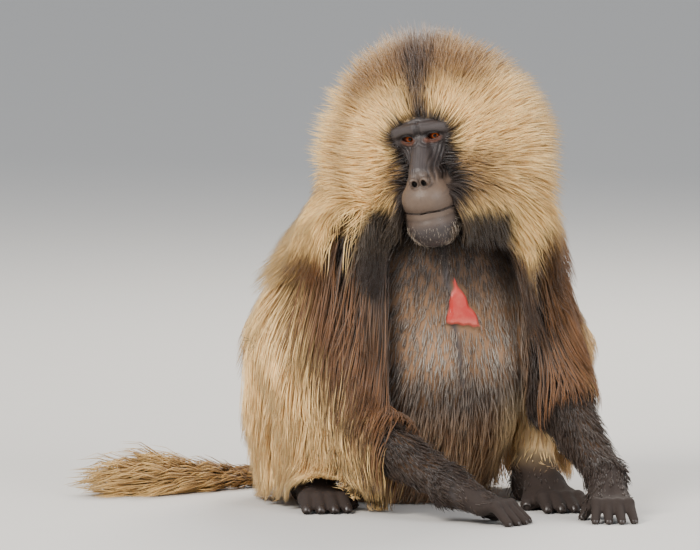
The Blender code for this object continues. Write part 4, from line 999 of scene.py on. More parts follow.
    def tail(self, points: Array, roots: Array, along: Array, draw: Array) -> dict[str, Array]:
        """Shares for the tail.

        Args:
            points: Places along the tufts.
            roots: Root of the tuft that each place is on.
            along: How far each place is along its tuft, from 0 to 1.
            draw: A random number from 0 to 1 for the tuft.

        Returns:
            The share of each tone.
        """
        _, place = TAIL.ahead(roots)
        tuft = smooth(place, 3.2, 4.4)
        dark = 0.42 * (1.0 - along) * (1.0 - 0.6 * tuft) + 0.10
        rust = 0.20 + 0.15 * draw
        cream = (0.35 + 0.45 * tuft) * (0.4 + 0.6 * along)
        return {"dark": dark, "rust": rust, "cream": cream, "grey": np.zeros(len(points))}

    def face_hair(self, points: Array, roots: Array, along: Array, draw: Array) -> dict[str, Array]:
        """Shares for the face's hairs: dark ones, white ones on chin and lip, and the mane's own at the rim.

        Args:
            points: Places along the tufts; not used.
            roots: Root of the tuft that each place is on.
            along: How far each place is along its tuft, from 0 to 1; not used.
            draw: A random number from 0 to 1 for the tuft.

        Returns:
            The share of each tone.
        """
        white = smooth(-STANCE.to_head(roots)[:, 2], 0.088, 0.100) * (draw > 0.35)
        edge = 1.0 - HEAD.bare(roots, 0.004)
        return {"dark": 0.85 - 0.62 * white - 0.10 * edge, "rust": 0.2 * edge, "cream": 0.2 * edge,
                "grey": 0.8 * white + 0.1}

    def skin(self, points: Array) -> dict[str, Array]:
        """Shares for every tone of the skin: the coat's own, and the bare skin's.

        Args:
            points: World points.

        Returns:
            The share of each tone, among them those of face, muzzle, lower lids and chest patch, and the painted
            shade of upper lids, creases and nostrils.
        """
        zero, half = np.zeros(len(points)), np.full(len(points), 0.5)
        shares = {name: value * 0.9 for name, value in self.body(points, points, zero, half).items()}
        _, place = TAIL.ahead(points)
        on_tail = smooth(-TAIL.form(points), -0.004, 0.002) * (place > 0.5)
        for name, value in self.tail(points, points, zero, half).items():
            shares[name] = shares[name] * (1.0 - on_tail) + value * on_tail
        p = STANCE.to_head(points)
        head = smooth(p[:, 2], -0.16, -0.13) * smooth(0.15 - p[:, 1], 0.0, 0.02)
        # The head's skin takes the mane's shares at the root, so it also gets the mane's painted root shade.
        for name, value in self.mane(points, points, zero, half).items():
            shares[name] = shares[name] * (1.0 - head) + value * head
        side = np.abs(p[:, 0])
        bag = np.hypot((side - HEAD.eye_half_span) / 1.35, p[:, 2] + 0.0012)
        shares["face"] = HEAD.bare(points)
        muzzle = smooth(-p[:, 2], 0.034, 0.052) * smooth(-p[:, 1], -0.030, 0.0)
        shares["muzzle"] = muzzle * smooth(p[:, 2], -0.118, -0.098)
        lid = hump(bag, 0.0058, 0.0022) * smooth(-p[:, 1], -0.012, 0.0)
        shares["lid"] = lid * smooth(-p[:, 2], 0.0, 0.0022)
        # Painted shadow: the upper lids are painted dark, as the shadow of the brow.
        shares["upper_lid"] = smooth(p[:, 2], -0.0004, 0.0022) * smooth(-bag, -0.0125, -0.0080)
        # Painted shade: the insides of the nostrils are painted near black, as the shadow in the holes.
        hole = np.hypot((side - HEAD.nostril[0][0]) / 0.0034, (p[:, 2] - HEAD.nostril[0][2]) / 0.0042)
        shares["hole"] = smooth(-hole, -1.20, -0.85) * smooth(-p[:, 1], 0.030, 0.040)
        # Painted shade: the face is darker in its folds and creases, and darker the deeper they are.
        shares["crease"] = np.clip(HEAD.folds(p) / 0.0009, 0.0, 1.0)
        shares["red"] = TRUNK.patch(points)
        shares["red_rim"] = TRUNK.patch(points, 0.010) * (1.0 - smooth(points[:, 2], 0.236, 0.250))
        hand = np.minimum.reduce([a.hand(points) for a in ARMS] + [leg.foot(points) for leg in LEGS])
        shares["palm"] = smooth(-hand, -0.006, 0.002)
        return shares


MARKINGS = Markings()


# Shader graphs


class Term:
    """A number in a shader. Arithmetic on it adds Math nodes."""

    def __init__(self, graph: "Graph", socket: bpy.types.NodeSocket) -> None:
        """Wraps a socket of a graph."""
        self.graph = graph
        self.socket = socket

    def _math(self, operation: str, first: "Term | float", second: "Term | float") -> "Term":
        """The result of one Math node on two values."""
        node = self.graph.node("ShaderNodeMath", {"operation": operation}, {0: first, 1: second})
        return Term(self.graph, node.outputs[0])

    def __add__(self, other: "Term | float") -> "Term":
        """Sum."""
        return self._math("ADD", self, other)

    __radd__ = __add__

    def __sub__(self, other: "Term | float") -> "Term":
        """Difference."""
        return self._math("SUBTRACT", self, other)

    def __rsub__(self, other: float) -> "Term":
        """Difference from a plain number."""
        return self._math("SUBTRACT", other, self)

    def __mul__(self, other: "Term | float") -> "Term":
        """Product."""
        return self._math("MULTIPLY", self, other)

    __rmul__ = __mul__

    def at_most(self, other: "Term | float") -> "Term":
        """The smaller of two values."""
        return self._math("MINIMUM", self, other)

    def at_least(self, other: "Term | float") -> "Term":
        """The larger of two values."""
        return self._math("MAXIMUM", self, other)


Colour = tuple[float, float, float]


def paint(red: int, green: int, blue: int) -> Colour:
    """A screen colour, each part from 0 to 255, as light."""
    parts = (red, green, blue)
    return tuple(((c / 255.0 + 0.055) / 1.055) ** 2.4 if c > 10 else c / 255.0 / 12.92 for c in parts)


class Graph:
    """The nodes of one material."""

    def __init__(self, name: str) -> None:
        """Starts a material with a Principled shader.

        Args:
            name: Name of the material.
        """
        self.material = bpy.data.materials.new(name)
        self.material.use_nodes = True
        self.tree = self.material.node_tree
        self.shader = self.tree.nodes["Principled BSDF"]

    def node(self, kind: str, settings: dict | None = None, sockets: dict | None = None) -> bpy.types.Node:
        """Adds a node.

        Args:
            kind: Type of the node.
            settings: Its settings, which are set first. A list of stops sets a ramp.
            sockets: Values or links of its sockets, by name or number.

        Returns:
            The node.
        """
        node = self.tree.nodes.new(kind)
        for name, value in (settings or {}).items():
            if name == "stops":
                ramp = node.color_ramp.elements
                while len(ramp) < len(value):
                    ramp.new(1.0)
                for element, (place, colour) in zip(ramp, value):
                    element.position = place
                    element.color = (*colour, 1.0)
            else:
                setattr(node, name, value)
        for key, value in (sockets or {}).items():
            self.feed(node.inputs[key], value)
        return node

    def feed(self, socket: bpy.types.NodeSocket, value: object) -> None:
        """Sets a socket's value or links it."""
        if isinstance(value, Term):
            self.tree.links.new(value.socket, socket)
        elif isinstance(value, bpy.types.NodeSocket):
            self.tree.links.new(value, socket)
        elif socket.type == "RGBA" and isinstance(value, tuple) and len(value) == 3:
            socket.default_value = (*value, 1.0)
        else:
            socket.default_value = value

    def set(self, **values: object) -> None:
        """Sets or links sockets of the shader, with underlines for the spaces in their names."""
        for name, value in values.items():
            self.feed(self.shader.inputs[name.replace("_", " ").title().replace("Ior", "IOR")], value)

    def share(self, name: str) -> Term:
        """A number kept on the mesh."""
        node = self.node("ShaderNodeAttribute", {"attribute_name": name})
        return Term(self, node.outputs["Fac"])

    def mix(self, factor: Term | float, first: object, second: object,
            kind: str = "MIX") -> bpy.types.NodeSocket:
        """Two colours mixed, with this share of the second."""
        settings = {"data_type": "RGBA", "blend_type": kind}
        return self.node("ShaderNodeMix", settings, {0: factor, 6: first, 7: second}).outputs[2]

    def noise(self, scale: float, detail: float = 3.0, vector: object = None, rough: float = 0.55) -> Term:
        """Noise from 0 to 1, by default over the object's own space.

        Args:
            scale: How many waves there are in a metre.
            detail: How fine it gets.
            vector: Where it is read.
            rough: Strength of its finer waves.

        Returns:
            The noise.
        """
        if vector is None:
            vector = self.node("ShaderNodeTexCoord").outputs["Object"]
        sockets = {"Vector": vector, "Scale": scale, "Detail": detail, "Roughness": rough}
        return Term(self, self.node("ShaderNodeTexNoise", None, sockets).outputs[0])

    def bump(self, height: Term, strength: float, distance: float) -> None:
        """Bends the shader's normal by a height, where 1 stands out by the distance."""
        node = self.node("ShaderNodeBump", None, {"Strength": strength, "Distance": distance, "Height": height})
        self.set(normal=node.outputs[0])


# Finishes


@dataclass(frozen=True)
class Pelt:
    """The tones of the coat, mixed in the same order for skin and tufts."""

    tan: Colour = paint(168, 124, 84)
    dark: Colour = paint(39, 29, 24)
    rust: Colour = paint(140, 98, 67)
    cream: Colour = paint(253, 220, 166)
    grey: Colour = paint(176, 166, 154)

    def colour(self, graph: Graph) -> bpy.types.NodeSocket:
        """The coat's colour from the shares kept on the mesh.

        Args:
            graph: The material's nodes.

        Returns:
            The colour's socket.
        """
        tone = graph.mix(graph.share("rust"), self.tan, self.rust)
        tone = graph.mix(graph.share("cream"), tone, self.cream)
        tone = graph.mix(graph.share("grey"), tone, self.grey)
        return graph.mix(graph.share("dark"), tone, self.dark)


@dataclass(frozen=True)
class CoatFinish:
    """Hair: streaks along each tuft, each tuft a little lighter or darker, with a soft sheen."""

    name: str
    roughness: float = 0.48
    saturation: float = 1.22
    level: float = 1.0
    pelt: Pelt = Pelt()

    def make(self) -> bpy.types.Material:
        """Builds the material.

        Returns:
            The material.
        """
        graph = Graph(self.name)
        colour = self.pelt.colour(graph)
        place = graph.node("ShaderNodeCombineXYZ", None, {
            0: graph.share("across") * 2.6 + graph.share("draw") * 91.0,
            1: graph.share("along") * 0.9,
            2: graph.share("draw") * 37.0,
        })
        streaks = graph.noise(2.1, 2.0, place.outputs[0])
        patches = graph.noise(26.0, 2.0)
        light = (streaks - 0.5) * 0.80 + (graph.share("draw") - 0.5) * 0.22 + (patches - 0.5) * 0.30
        shade = graph.node("ShaderNodeHueSaturation", None, {
            "Hue": 0.5,
            "Saturation": self.saturation,
            "Fac": 1.0,
            "Value": (light + self.level).at_least(0.25),
            "Color": colour,
        })
        graph.set(base_color=shade.outputs[0], roughness=streaks * 0.22 + (self.roughness - 0.10))
        graph.set(specular_ior_level=0.35, sheen_weight=0.25, sheen_roughness=0.45)
        graph.bump(streaks, 0.5, 0.0006)
        return graph.material


@dataclass(frozen=True)
class SkinFinish:
    """Skin: charcoal face with a browner muzzle, red chest patch, and the coat's own tones under the fur, with
    painted shade on the upper lids, in the creases and in the nostrils.
    """

    face: Colour = paint(68, 60, 58)
    # The face's dark tone for its mottle, also used as the painted shade of upper lids and creases.
    face_dark_and_shade: Colour = paint(34, 29, 29)
    muzzle: Colour = paint(112, 92, 76)
    lid: Colour = paint(118, 68, 46)
    # Painted shade inside the nostrils.
    hole: Colour = paint(12, 9, 9)
    red: Colour = paint(184, 46, 38)
    red_pale: Colour = paint(214, 128, 108)
    hand: Colour = paint(38, 31, 29)
    pelt: Pelt = Pelt()

    def make(self) -> bpy.types.Material:
        """Builds the material.

        Returns:
            The material.
        """
        graph = Graph("skin")
        coat = graph.mix(graph.share("palm"), self.pelt.colour(graph), self.hand)
        mottle = graph.noise(90.0, 4.0)
        pores = graph.noise(1400.0, 3.0)
        space = graph.node("ShaderNodeTexCoord").outputs["Object"]
        cells = graph.node("ShaderNodeTexVoronoi", None, {"Vector": space, "Scale": 620.0})
        face = graph.mix(((mottle - 0.35) * 1.3).at_least(0.0).at_most(1.0) * 0.55, self.face, self.face_dark_and_shade)
        face = graph.mix(graph.share("muzzle") * (0.45 + mottle * 0.5), face, self.muzzle)
        # Lower lids take their own reddish tone; upper lids, creases and nostrils are painted darker as shade.
        for name, most, tone in (("lid", 0.65, self.lid), ("upper_lid", 0.80, self.face_dark_and_shade),
                                 ("crease", 0.60, self.face_dark_and_shade), ("hole", 0.96, self.hole)):
            face = graph.mix(graph.share(name) * most, face, tone)
        red = graph.mix(graph.share("red_rim") * 0.55, self.red, self.red_pale)
        red = graph.mix((mottle - 0.4).at_least(0.0) * 0.7, red, self.red_pale)
        colour = graph.mix(graph.share("face"), coat, face)
        colour = graph.mix(graph.share("red"), colour, red)
        bare = graph.share("face") * 0.40 + graph.share("red") * 0.34
        roughness = 0.84 - bare + (mottle - 0.5) * 0.15
        graph.set(base_color=colour, roughness=roughness, specular_ior_level=0.42)
        height = pores * 0.6 + Term(graph, cells.outputs[0]) * 0.8 + mottle * 0.5
        graph.bump(height, 0.55, 0.0005)
        return graph.material


@dataclass(frozen=True)
class EyeFinish:
    """Eye: dark pupil, orange-brown iris with spokes and a dark ring, and brown-tinted white."""

    pupil: Colour = (0.003, 0.002, 0.002)
    inner: Colour = paint(186, 88, 28)
    outer: Colour = paint(132, 52, 16)
    ring: Colour = paint(44, 18, 10)
    white: Colour = paint(74, 44, 34)

    def make(self) -> bpy.types.Material:
        """Builds the material.

        Returns:
            The material.
        """
        graph = Graph("eyes")
        off = graph.share("off_axis")
        spokes = graph.noise(1.0, 3.0, graph.node("ShaderNodeCombineXYZ", None, {
            0: graph.share("spoke") * 9.0, 1: off * 0.15, 2: 0.0}).outputs[0])
        stops = [(0.0, self.pupil), (0.20, self.pupil), (0.24, self.inner), (0.42, self.outer),
                 (0.54, self.ring), (0.61, self.white)]
        ramp = graph.node("ShaderNodeValToRGB", {"stops": stops}, {0: off})
        colour = graph.mix((spokes - 0.35) * 1.2, ramp.outputs[0], self.ring, "MULTIPLY")
        colour = graph.mix(0.35, ramp.outputs[0], colour)
        graph.set(base_color=colour, roughness=0.06, specular_ior_level=0.22)
        graph.bump(spokes, 0.08, 0.0003)
        return graph.material


@dataclass(frozen=True)
class NailFinish:
    """Nail: near-black horn with fine lengthwise streaks."""

    dark: Colour = paint(30, 24, 22)
    light: Colour = paint(78, 64, 56)

    def make(self) -> bpy.types.Material:
        """Builds the material.

        Returns:
            The material.
        """
        graph = Graph("nails")
        streaks = graph.noise(420.0, 3.0)
        graph.set(base_color=graph.mix(streaks * 0.6, self.dark, self.light), roughness=0.25 + streaks * 0.2)
        graph.bump(streaks, 0.3, 0.0002)
        return graph.material


@dataclass(frozen=True)
class FloorFinish:
    """A plain pale floor with the faintest grain."""

    pale: Colour = (0.62, 0.60, 0.57)

    def make(self) -> bpy.types.Material:
        """Builds the material.

        Returns:
            The material.
        """
        graph = Graph("floor")
        grain = graph.noise(14.0, 4.0)
        graph.set(base_color=graph.mix(grain * 0.10, self.pale, (0.50, 0.48, 0.45)), roughness=0.85)
        return graph.material


# Meshes


def new_mesh(name: str, points: Array, faces: Array, material: bpy.types.Material) -> bpy.types.Object:
    """Makes an object from faces that all have as many corners.

    Args:
        name: Name of the object.
        points: Places of its points.
        faces: Rows of point numbers.
        material: Its material.

    Returns:
        The object, in the scene and smoothly shaded.
    """
    mesh = bpy.data.meshes.new(name)
    count, corners = faces.shape
    mesh.vertices.add(len(points))
    mesh.vertices.foreach_set("co", np.ascontiguousarray(points, np.float32).ravel())
    mesh.loops.add(count * corners)
    mesh.loops.foreach_set("vertex_index", np.ascontiguousarray(faces, np.int32).ravel())
    mesh.polygons.add(count)
    mesh.polygons.foreach_set("loop_start", np.arange(0, count * corners, corners, dtype=np.int32))
    mesh.polygons.foreach_set("use_smooth", np.ones(count, bool))
    mesh.update(calc_edges=True)
    mesh.materials.append(material)
    made = bpy.data.objects.new(name, mesh)
    bpy.context.scene.collection.objects.link(made)
    return made


def keep_shares(mesh: bpy.types.Mesh, shares: dict[str, Array]) -> None:
    """Keeps numbers on the points of a mesh, for its material to read.

    Args:
        mesh: The mesh.
        shares: One array of numbers for each name.
    """
    for name, values in shares.items():
        layer = mesh.attributes.new(name, "FLOAT", "POINT")
        layer.data.foreach_set("value", np.ascontiguousarray(np.clip(values, 0.0, 1.0), np.float32))


def points_of(mesh: bpy.types.Mesh) -> Array:
    """The places of a mesh's points.

    Args:
        mesh: The mesh.

    Returns:
        One row for each point.
    """
    points = np.empty(len(mesh.vertices) * 3, np.float32)
    mesh.vertices.foreach_get("co", points)
    return points.reshape(-1, 3).astype(float)


@dataclass
class Net:
    """Turns a field into a mesh of quads, looking only near its surface."""

    form: Field
    step: float
    low: Array
    high: Array
    halvings: int = 3

    def cells(self) -> Array:
        """Finds the fine cells near the surface.

        Returns:
            Their whole-number places.
        """
        size = self.step * 2**self.halvings
        counts = np.ceil((self.high - self.low) / size).astype(int)
        cells = np.stack(np.meshgrid(*[np.arange(n) for n in counts], indexing="ij"), axis=-1).reshape(-1, 3)
        for level in range(self.halvings + 1):
            centres = self.low + (cells + 0.5) * size
            cells = cells[np.abs(self.form(centres)) < size * (1.5 if level == 0 else 1.15)]
            if level < self.halvings:
                cells = (cells[:, None] * 2 + CORNERS).reshape(-1, 3)
                size /= 2.0
        return cells

    def make(self) -> tuple[Array, Array]:
        """Points and quads of the surface.

        Returns:
            Places of the points, and rows of four point numbers.
        """
        cells = self.cells()
        span = cells.max(axis=0) + 3
        key = lambda c: (c[:, 0] * span[1] + c[:, 1]) * span[2] + c[:, 2]
        nodes = (cells[:, None] + CORNERS).reshape(-1, 3)
        keys, first = np.unique(key(nodes), return_index=True)
        nodes = nodes[first]
        values = self.form(self.low + nodes * self.step)
        rings, spots = [], []
        for axis in range(3):
            ahead = np.eye(3, dtype=int)[axis]
            slot = np.searchsorted(keys, key(nodes + ahead))
            slot[slot == len(keys)] = 0
            there = keys[slot] == key(nodes + ahead)
            crossing = np.flatnonzero(there & ((values < 0.0) != (values[slot] < 0.0)))
            near_value, far_value = values[crossing], values[slot[crossing]]
            spot = nodes[crossing].astype(float)
            spot[:, axis] += near_value / (near_value - far_value)
            b, c = np.eye(3, dtype=int)[(axis + 1) % 3], np.eye(3, dtype=int)[(axis + 2) % 3]
            around = [nodes[crossing] - db * b - dc * c for db, dc in ((0, 0), (1, 0), (1, 1), (0, 1))]
            ring = np.stack([key(cell) for cell in around], axis=1)
            outward = near_value >= 0.0
            ring[outward] = ring[outward][:, ::-1]
            rings.append(ring)
            spots.append(spot)
        rings, spots = np.concatenate(rings), np.concatenate(spots)
        used, quads = np.unique(rings, return_inverse=True)
        quads = quads.reshape(-1, 4)
        counts = np.bincount(quads.ravel(), minlength=len(used))
        total = [np.bincount(quads.ravel(), weights=np.repeat(spots[:, k], 4), minlength=len(used))
                 for k in range(3)]
        points = self.low + self.step * np.stack(total, axis=1) / counts[:, None]
        return points, quads


@dataclass
class Skin:
    """The one skin over head, trunk, limbs and tail, with the size of its quads and how often they are halved."""

    step: float
    finenesses: int
    object: bpy.types.Object | None = None
    points: Array | None = None
    triangles: Array | None = None
    nodes: tuple = ("head", "ear_right", "ear_left", "neck", "trunk", "chest_patch", "upper_arm_right",
                    "upper_arm_left", "forearm_right", "forearm_left", "hand_right", "hand_left", "thigh_right",
                    "thigh_left", "shank_right", "shank_left", "foot_right", "foot_left", "tail_base", "tail_middle")

    def need(self, points: Array, level: int) -> Array:
        """Which points want a finer mesh.

        Args:
            points: World points.
            level: How many times it has been made finer.

        Returns:
            True where it isn't fine enough.
        """
        p = STANCE.to_head(points)
        bare = (HEAD.bare(points, 0.008) > 0.02) & (np.abs(p[:, 0]) < 0.045)
        if level == 0:
            hands = np.minimum.reduce([arm.hand(points) for arm in ARMS])
            return bare | (np.abs(hands) < 0.004) | (TRUNK.patch(points, 0.009) > 0.01)
        side = np.abs(p[:, 0])
        eyes = np.hypot((side - HEAD.eye_half_span) / 1.3, p[:, 2]) < (0.0125 if level == 1 else 0.0075)
        nose = np.hypot(side - 0.005, p[:, 2] + 0.053) < (0.012 if level == 1 else 0.006)
        mouth = np.abs(p[:, 2] - HEAD.mouth_level) < (0.010 if level == 1 else 0.004)
        bridge = (p[:, 2] > -0.060) & (p[:, 2] < 0.030) & (level == 1)
        red = (TRUNK.patch(points, 0.005) > 0.02) & (level == 1)
        return bare & (p[:, 1] < 0.020) & (eyes | nose | mouth | bridge) | red

    def settle(self, points: Array, rounds: int = 3) -> Array:
        """Draws points onto the skin.

        Args:
            points: Points near it.
            rounds: How often each is moved.

        Returns:
            The moved points.
        """
        reach = 0.0003
        for _ in range(rounds):
            value = whole_skin(points)
            rises = [whole_skin(points + reach * a) - whole_skin(points - reach * a) for a in np.eye(3)]
            slope = np.stack(rises, axis=1) / (2.0 * reach)
            steep = np.maximum((slope**2).sum(axis=1), 0.25)
            points = points - 0.9 * np.clip(value / steep, -0.001, 0.001)[:, None] * slope
        return points

    def build(self) -> None:
        """Makes the mesh and keeps its markings on it."""
        low, high = np.array((-0.42, -0.36, -0.012)), np.array((0.30, 0.24, 0.56))
        points, quads = Net(whole_skin, self.step, low, high).make()
        self.object = new_mesh("skin", points, quads, SkinFinish().make())
        mesh = self.object.data
        for level in range(self.finenesses):
            bm = bmesh.new()
            bm.from_mesh(mesh)
            want = self.need(points_of(mesh), level)
            bm.verts.ensure_lookup_table()
            edges = [e for e in bm.edges if want[e.verts[0].index] and want[e.verts[1].index]]
            bmesh.ops.subdivide_edges(bm, edges=edges, cuts=1, use_grid_fill=True)
            bm.to_mesh(mesh)
            bm.free()
            points = points_of(mesh)
            fine = self.need(points, level)
            points[fine] = self.settle(points[fine])
            mesh.vertices.foreach_set("co", points.astype(np.float32).ravel())
        mesh.update()
        mesh.polygons.foreach_set("use_smooth", np.ones(len(mesh.polygons), bool))
        self.points = points_of(mesh)
        keep_shares(mesh, MARKINGS.skin(self.points))
        mesh.calc_loop_triangles()
        corners = np.empty(len(mesh.loop_triangles) * 3, np.int32)
        mesh.loop_triangles.foreach_get("vertices", corners)
        self.triangles = corners.reshape(-1, 3)
        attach(self.object, "root")
        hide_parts(*self.nodes)
        log.info("skin: %d triangles", len(self.triangles))

    def scatter(self, count: int, draw: np.random.Generator, low: Array, high: Array) -> tuple[Array, Array]:
        """Random places on the skin within a box, evenly by area.

        Args:
            count: How many.
            draw: Source of random numbers.
            low: Lowest corner of the box.
            high: Highest corner of the box.

        Returns:
            The places, and the unit vectors out of the skin there.
        """
        a, b, c = (self.points[self.triangles[:, k]] for k in range(3))
        across = np.cross(b - a, c - a)
        area = np.linalg.norm(across, axis=1)
        area = np.where(((a > low) & (a < high)).all(axis=1), area, 0.0)
        chosen = draw.choice(len(area), count, p=area / area.sum())
        u, v = draw.random((2, count, 1))
        flip = u + v > 1.0
        u, v = np.where(flip, 1.0 - u, u), np.where(flip, 1.0 - v, v)
        return a[chosen] + u * (b - a)[chosen] + v * (c - a)[chosen], units(across[chosen])


@dataclass
class Tufts:
    """Many tufts as one mesh. Each is three-sided, widest a little above its root and pointed at its tip."""

    name: str
    slot: Slot
    rings: int
    width: float
    depth: float
    material: bpy.types.Material

    def build(self, paths: Array, outs: Array, widths: Array, spots: Array, draws: Array, tone: Callable,
              replaces: Sequence[str] = ()) -> bpy.types.Object:
        """Makes the mesh, its bake map and its markings.

        Args:
            paths: Places along each tuft, root first and tip last.
            outs: Unit vectors away from the body at those places.
            widths: Width of each tuft as a share of the piece's.
            spots: Place of each root on the unwrapped skin, from 0 to 1 both ways.
            draws: A random number from 0 to 1 for each tuft.
            tone: Gives the markings from places, roots, shares of the length and random numbers.
            replaces: CAD nodes that this piece stands for.

        Returns:
            The object.
        """
        count, rings = len(paths), self.rings
        ahead = units(paths[:, 1:] - paths[:, :-1])
        across = units(np.cross(ahead, outs[:, :-1]))
        up = np.cross(across, ahead)
        s = np.arange(rings) / rings
        taper = (0.72 + 1.1 * s) * (1.0 - s) ** 0.62
        half = 0.5 * self.width * widths[:, None] * taper
        body = paths[:, :rings]
        lift = self.depth * (0.5 + 0.5 * widths[:, None]) * taper
        half, lift = half[..., None], lift[..., None]
        ring = np.stack((body - across * half, body + across * half, body + up * lift), axis=2)
        points = np.concatenate((ring.reshape(count, rings * 3, 3), paths[:, -1:]), axis=1)
        faces = [(0, 2, 1)]
        for k in range(rings - 1):
            for a, b in ((0, 1), (1, 2), (2, 0)):
                faces += [(3 * k + a, 3 * k + b, 3 * k + 3 + b), (3 * k + a, 3 * k + 3 + b, 3 * k + 3 + a)]
        last = 3 * (rings - 1)
        faces += [(last + a, last + b, 3 * rings) for a, b in ((0, 1), (1, 2), (2, 0))]
        size = 3 * rings + 1
        faces = (np.array(faces)[None] + size * np.arange(count)[:, None, None]).reshape(-1, 3)
        points[:, :, 2] = np.maximum(points[:, :, 2], 0.0006)
        made = new_mesh(self.name, points.reshape(-1, 3), faces, self.material)
        along = np.concatenate((np.repeat(s, 3), (1.0,)))
        side = np.concatenate((np.tile((0.0, 1.0, 0.5), rings), (0.5,)))
        each = lambda values: np.repeat(values, size, axis=0)
        shares = tone(points.reshape(-1, 3), each(paths[:, 0]), np.tile(along, count), each(draws))
        shares["along"] = np.tile(along, count)
        shares["across"] = np.tile(side, count)
        shares["draw"] = each(draws)
        keep_shares(made.data, shares)
        patch = np.stack((side - 0.5, along - 0.5), axis=1) * 0.003
        places = np.clip(spots, 0.002, 0.998)[:, None] + patch[None]
        layer = made.data.uv_layers.new(name="OFBake")
        layer.data.foreach_set("uv", places.reshape(-1, 2)[faces.ravel()].astype(np.float32).ravel())
        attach(made, "root")
        if replaces:
            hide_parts(*replaces)
        log.info("%s: %d tufts, %d triangles", self.name, count, len(faces))
        return made


def clump(paths: Array, every: int, pull: float | Array) -> Array:
    """Draws tufts together towards their tips, as hair gathers in locks.

    Args:
        paths: Places along each tuft.
        every: How many tufts gather in a lock.
        pull: How far the tips come together, from 0 to 1.

    Returns:
        The moved paths.
    """
    heads = np.arange(0, len(paths), every)
    tree = KDTree(len(heads))
    for number, head in enumerate(heads):
        tree.insert(paths[head, 0], number)
    tree.balance()
    nearest = heads[[tree.find(root)[1] for root in paths[:, 0]]]
    s = np.linspace(0.0, 1.0, paths.shape[1])
    pulls = np.broadcast_to(pull, len(paths))[:, None] * s**1.6
    return paths + (paths[nearest] - paths) * pulls[..., None]


@dataclass
class LongHair:
    """Traces long hair from its roots along the lie of the coat, out to the tips' surface."""

    skin: Skin
    sampled: Sampled
    draw: np.random.Generator

    def trace(self, roots: Array, travel: Array, tips: Array, rings: int, wander: float) -> tuple[Array, Array]:
        """Follows the lie of the coat from each root.

        Args:
            roots: Places on the skin.
            travel: Length of each path along the lie.
            tips: Share of the coat's thickness that each tip reaches.
            rings: How many rings each tuft has, besides its tip.
            wander: How far a tuft's own way strays from the lie.

        Returns:
            Paths and the unit vectors out of the coat along them.
        """
        steps = rings * 2
        points = roots.copy()
        stray = self.draw.normal(0.0, wander, roots.shape)
        paths, outs = [], []
        for step in range(steps + 1):
            s = step / steps
            if step:
                way = units(COAT.lie(points) + stray * (0.4 + s))
                points = points + way * (travel / steps)[:, None]
            share = tips * s**0.85
            for _ in range(2):
                skin, thick, out = self.sampled.at(points)
                points = points - out * (skin - share * thick)[:, None] * (0.9 if step else 0.0)
            points[:, 2] = np.maximum(points[:, 2], 0.002)
            if step % 2 == 0:
                paths.append(points)
                outs.append(out)
        return np.stack(paths, axis=1), np.stack(outs, axis=1)


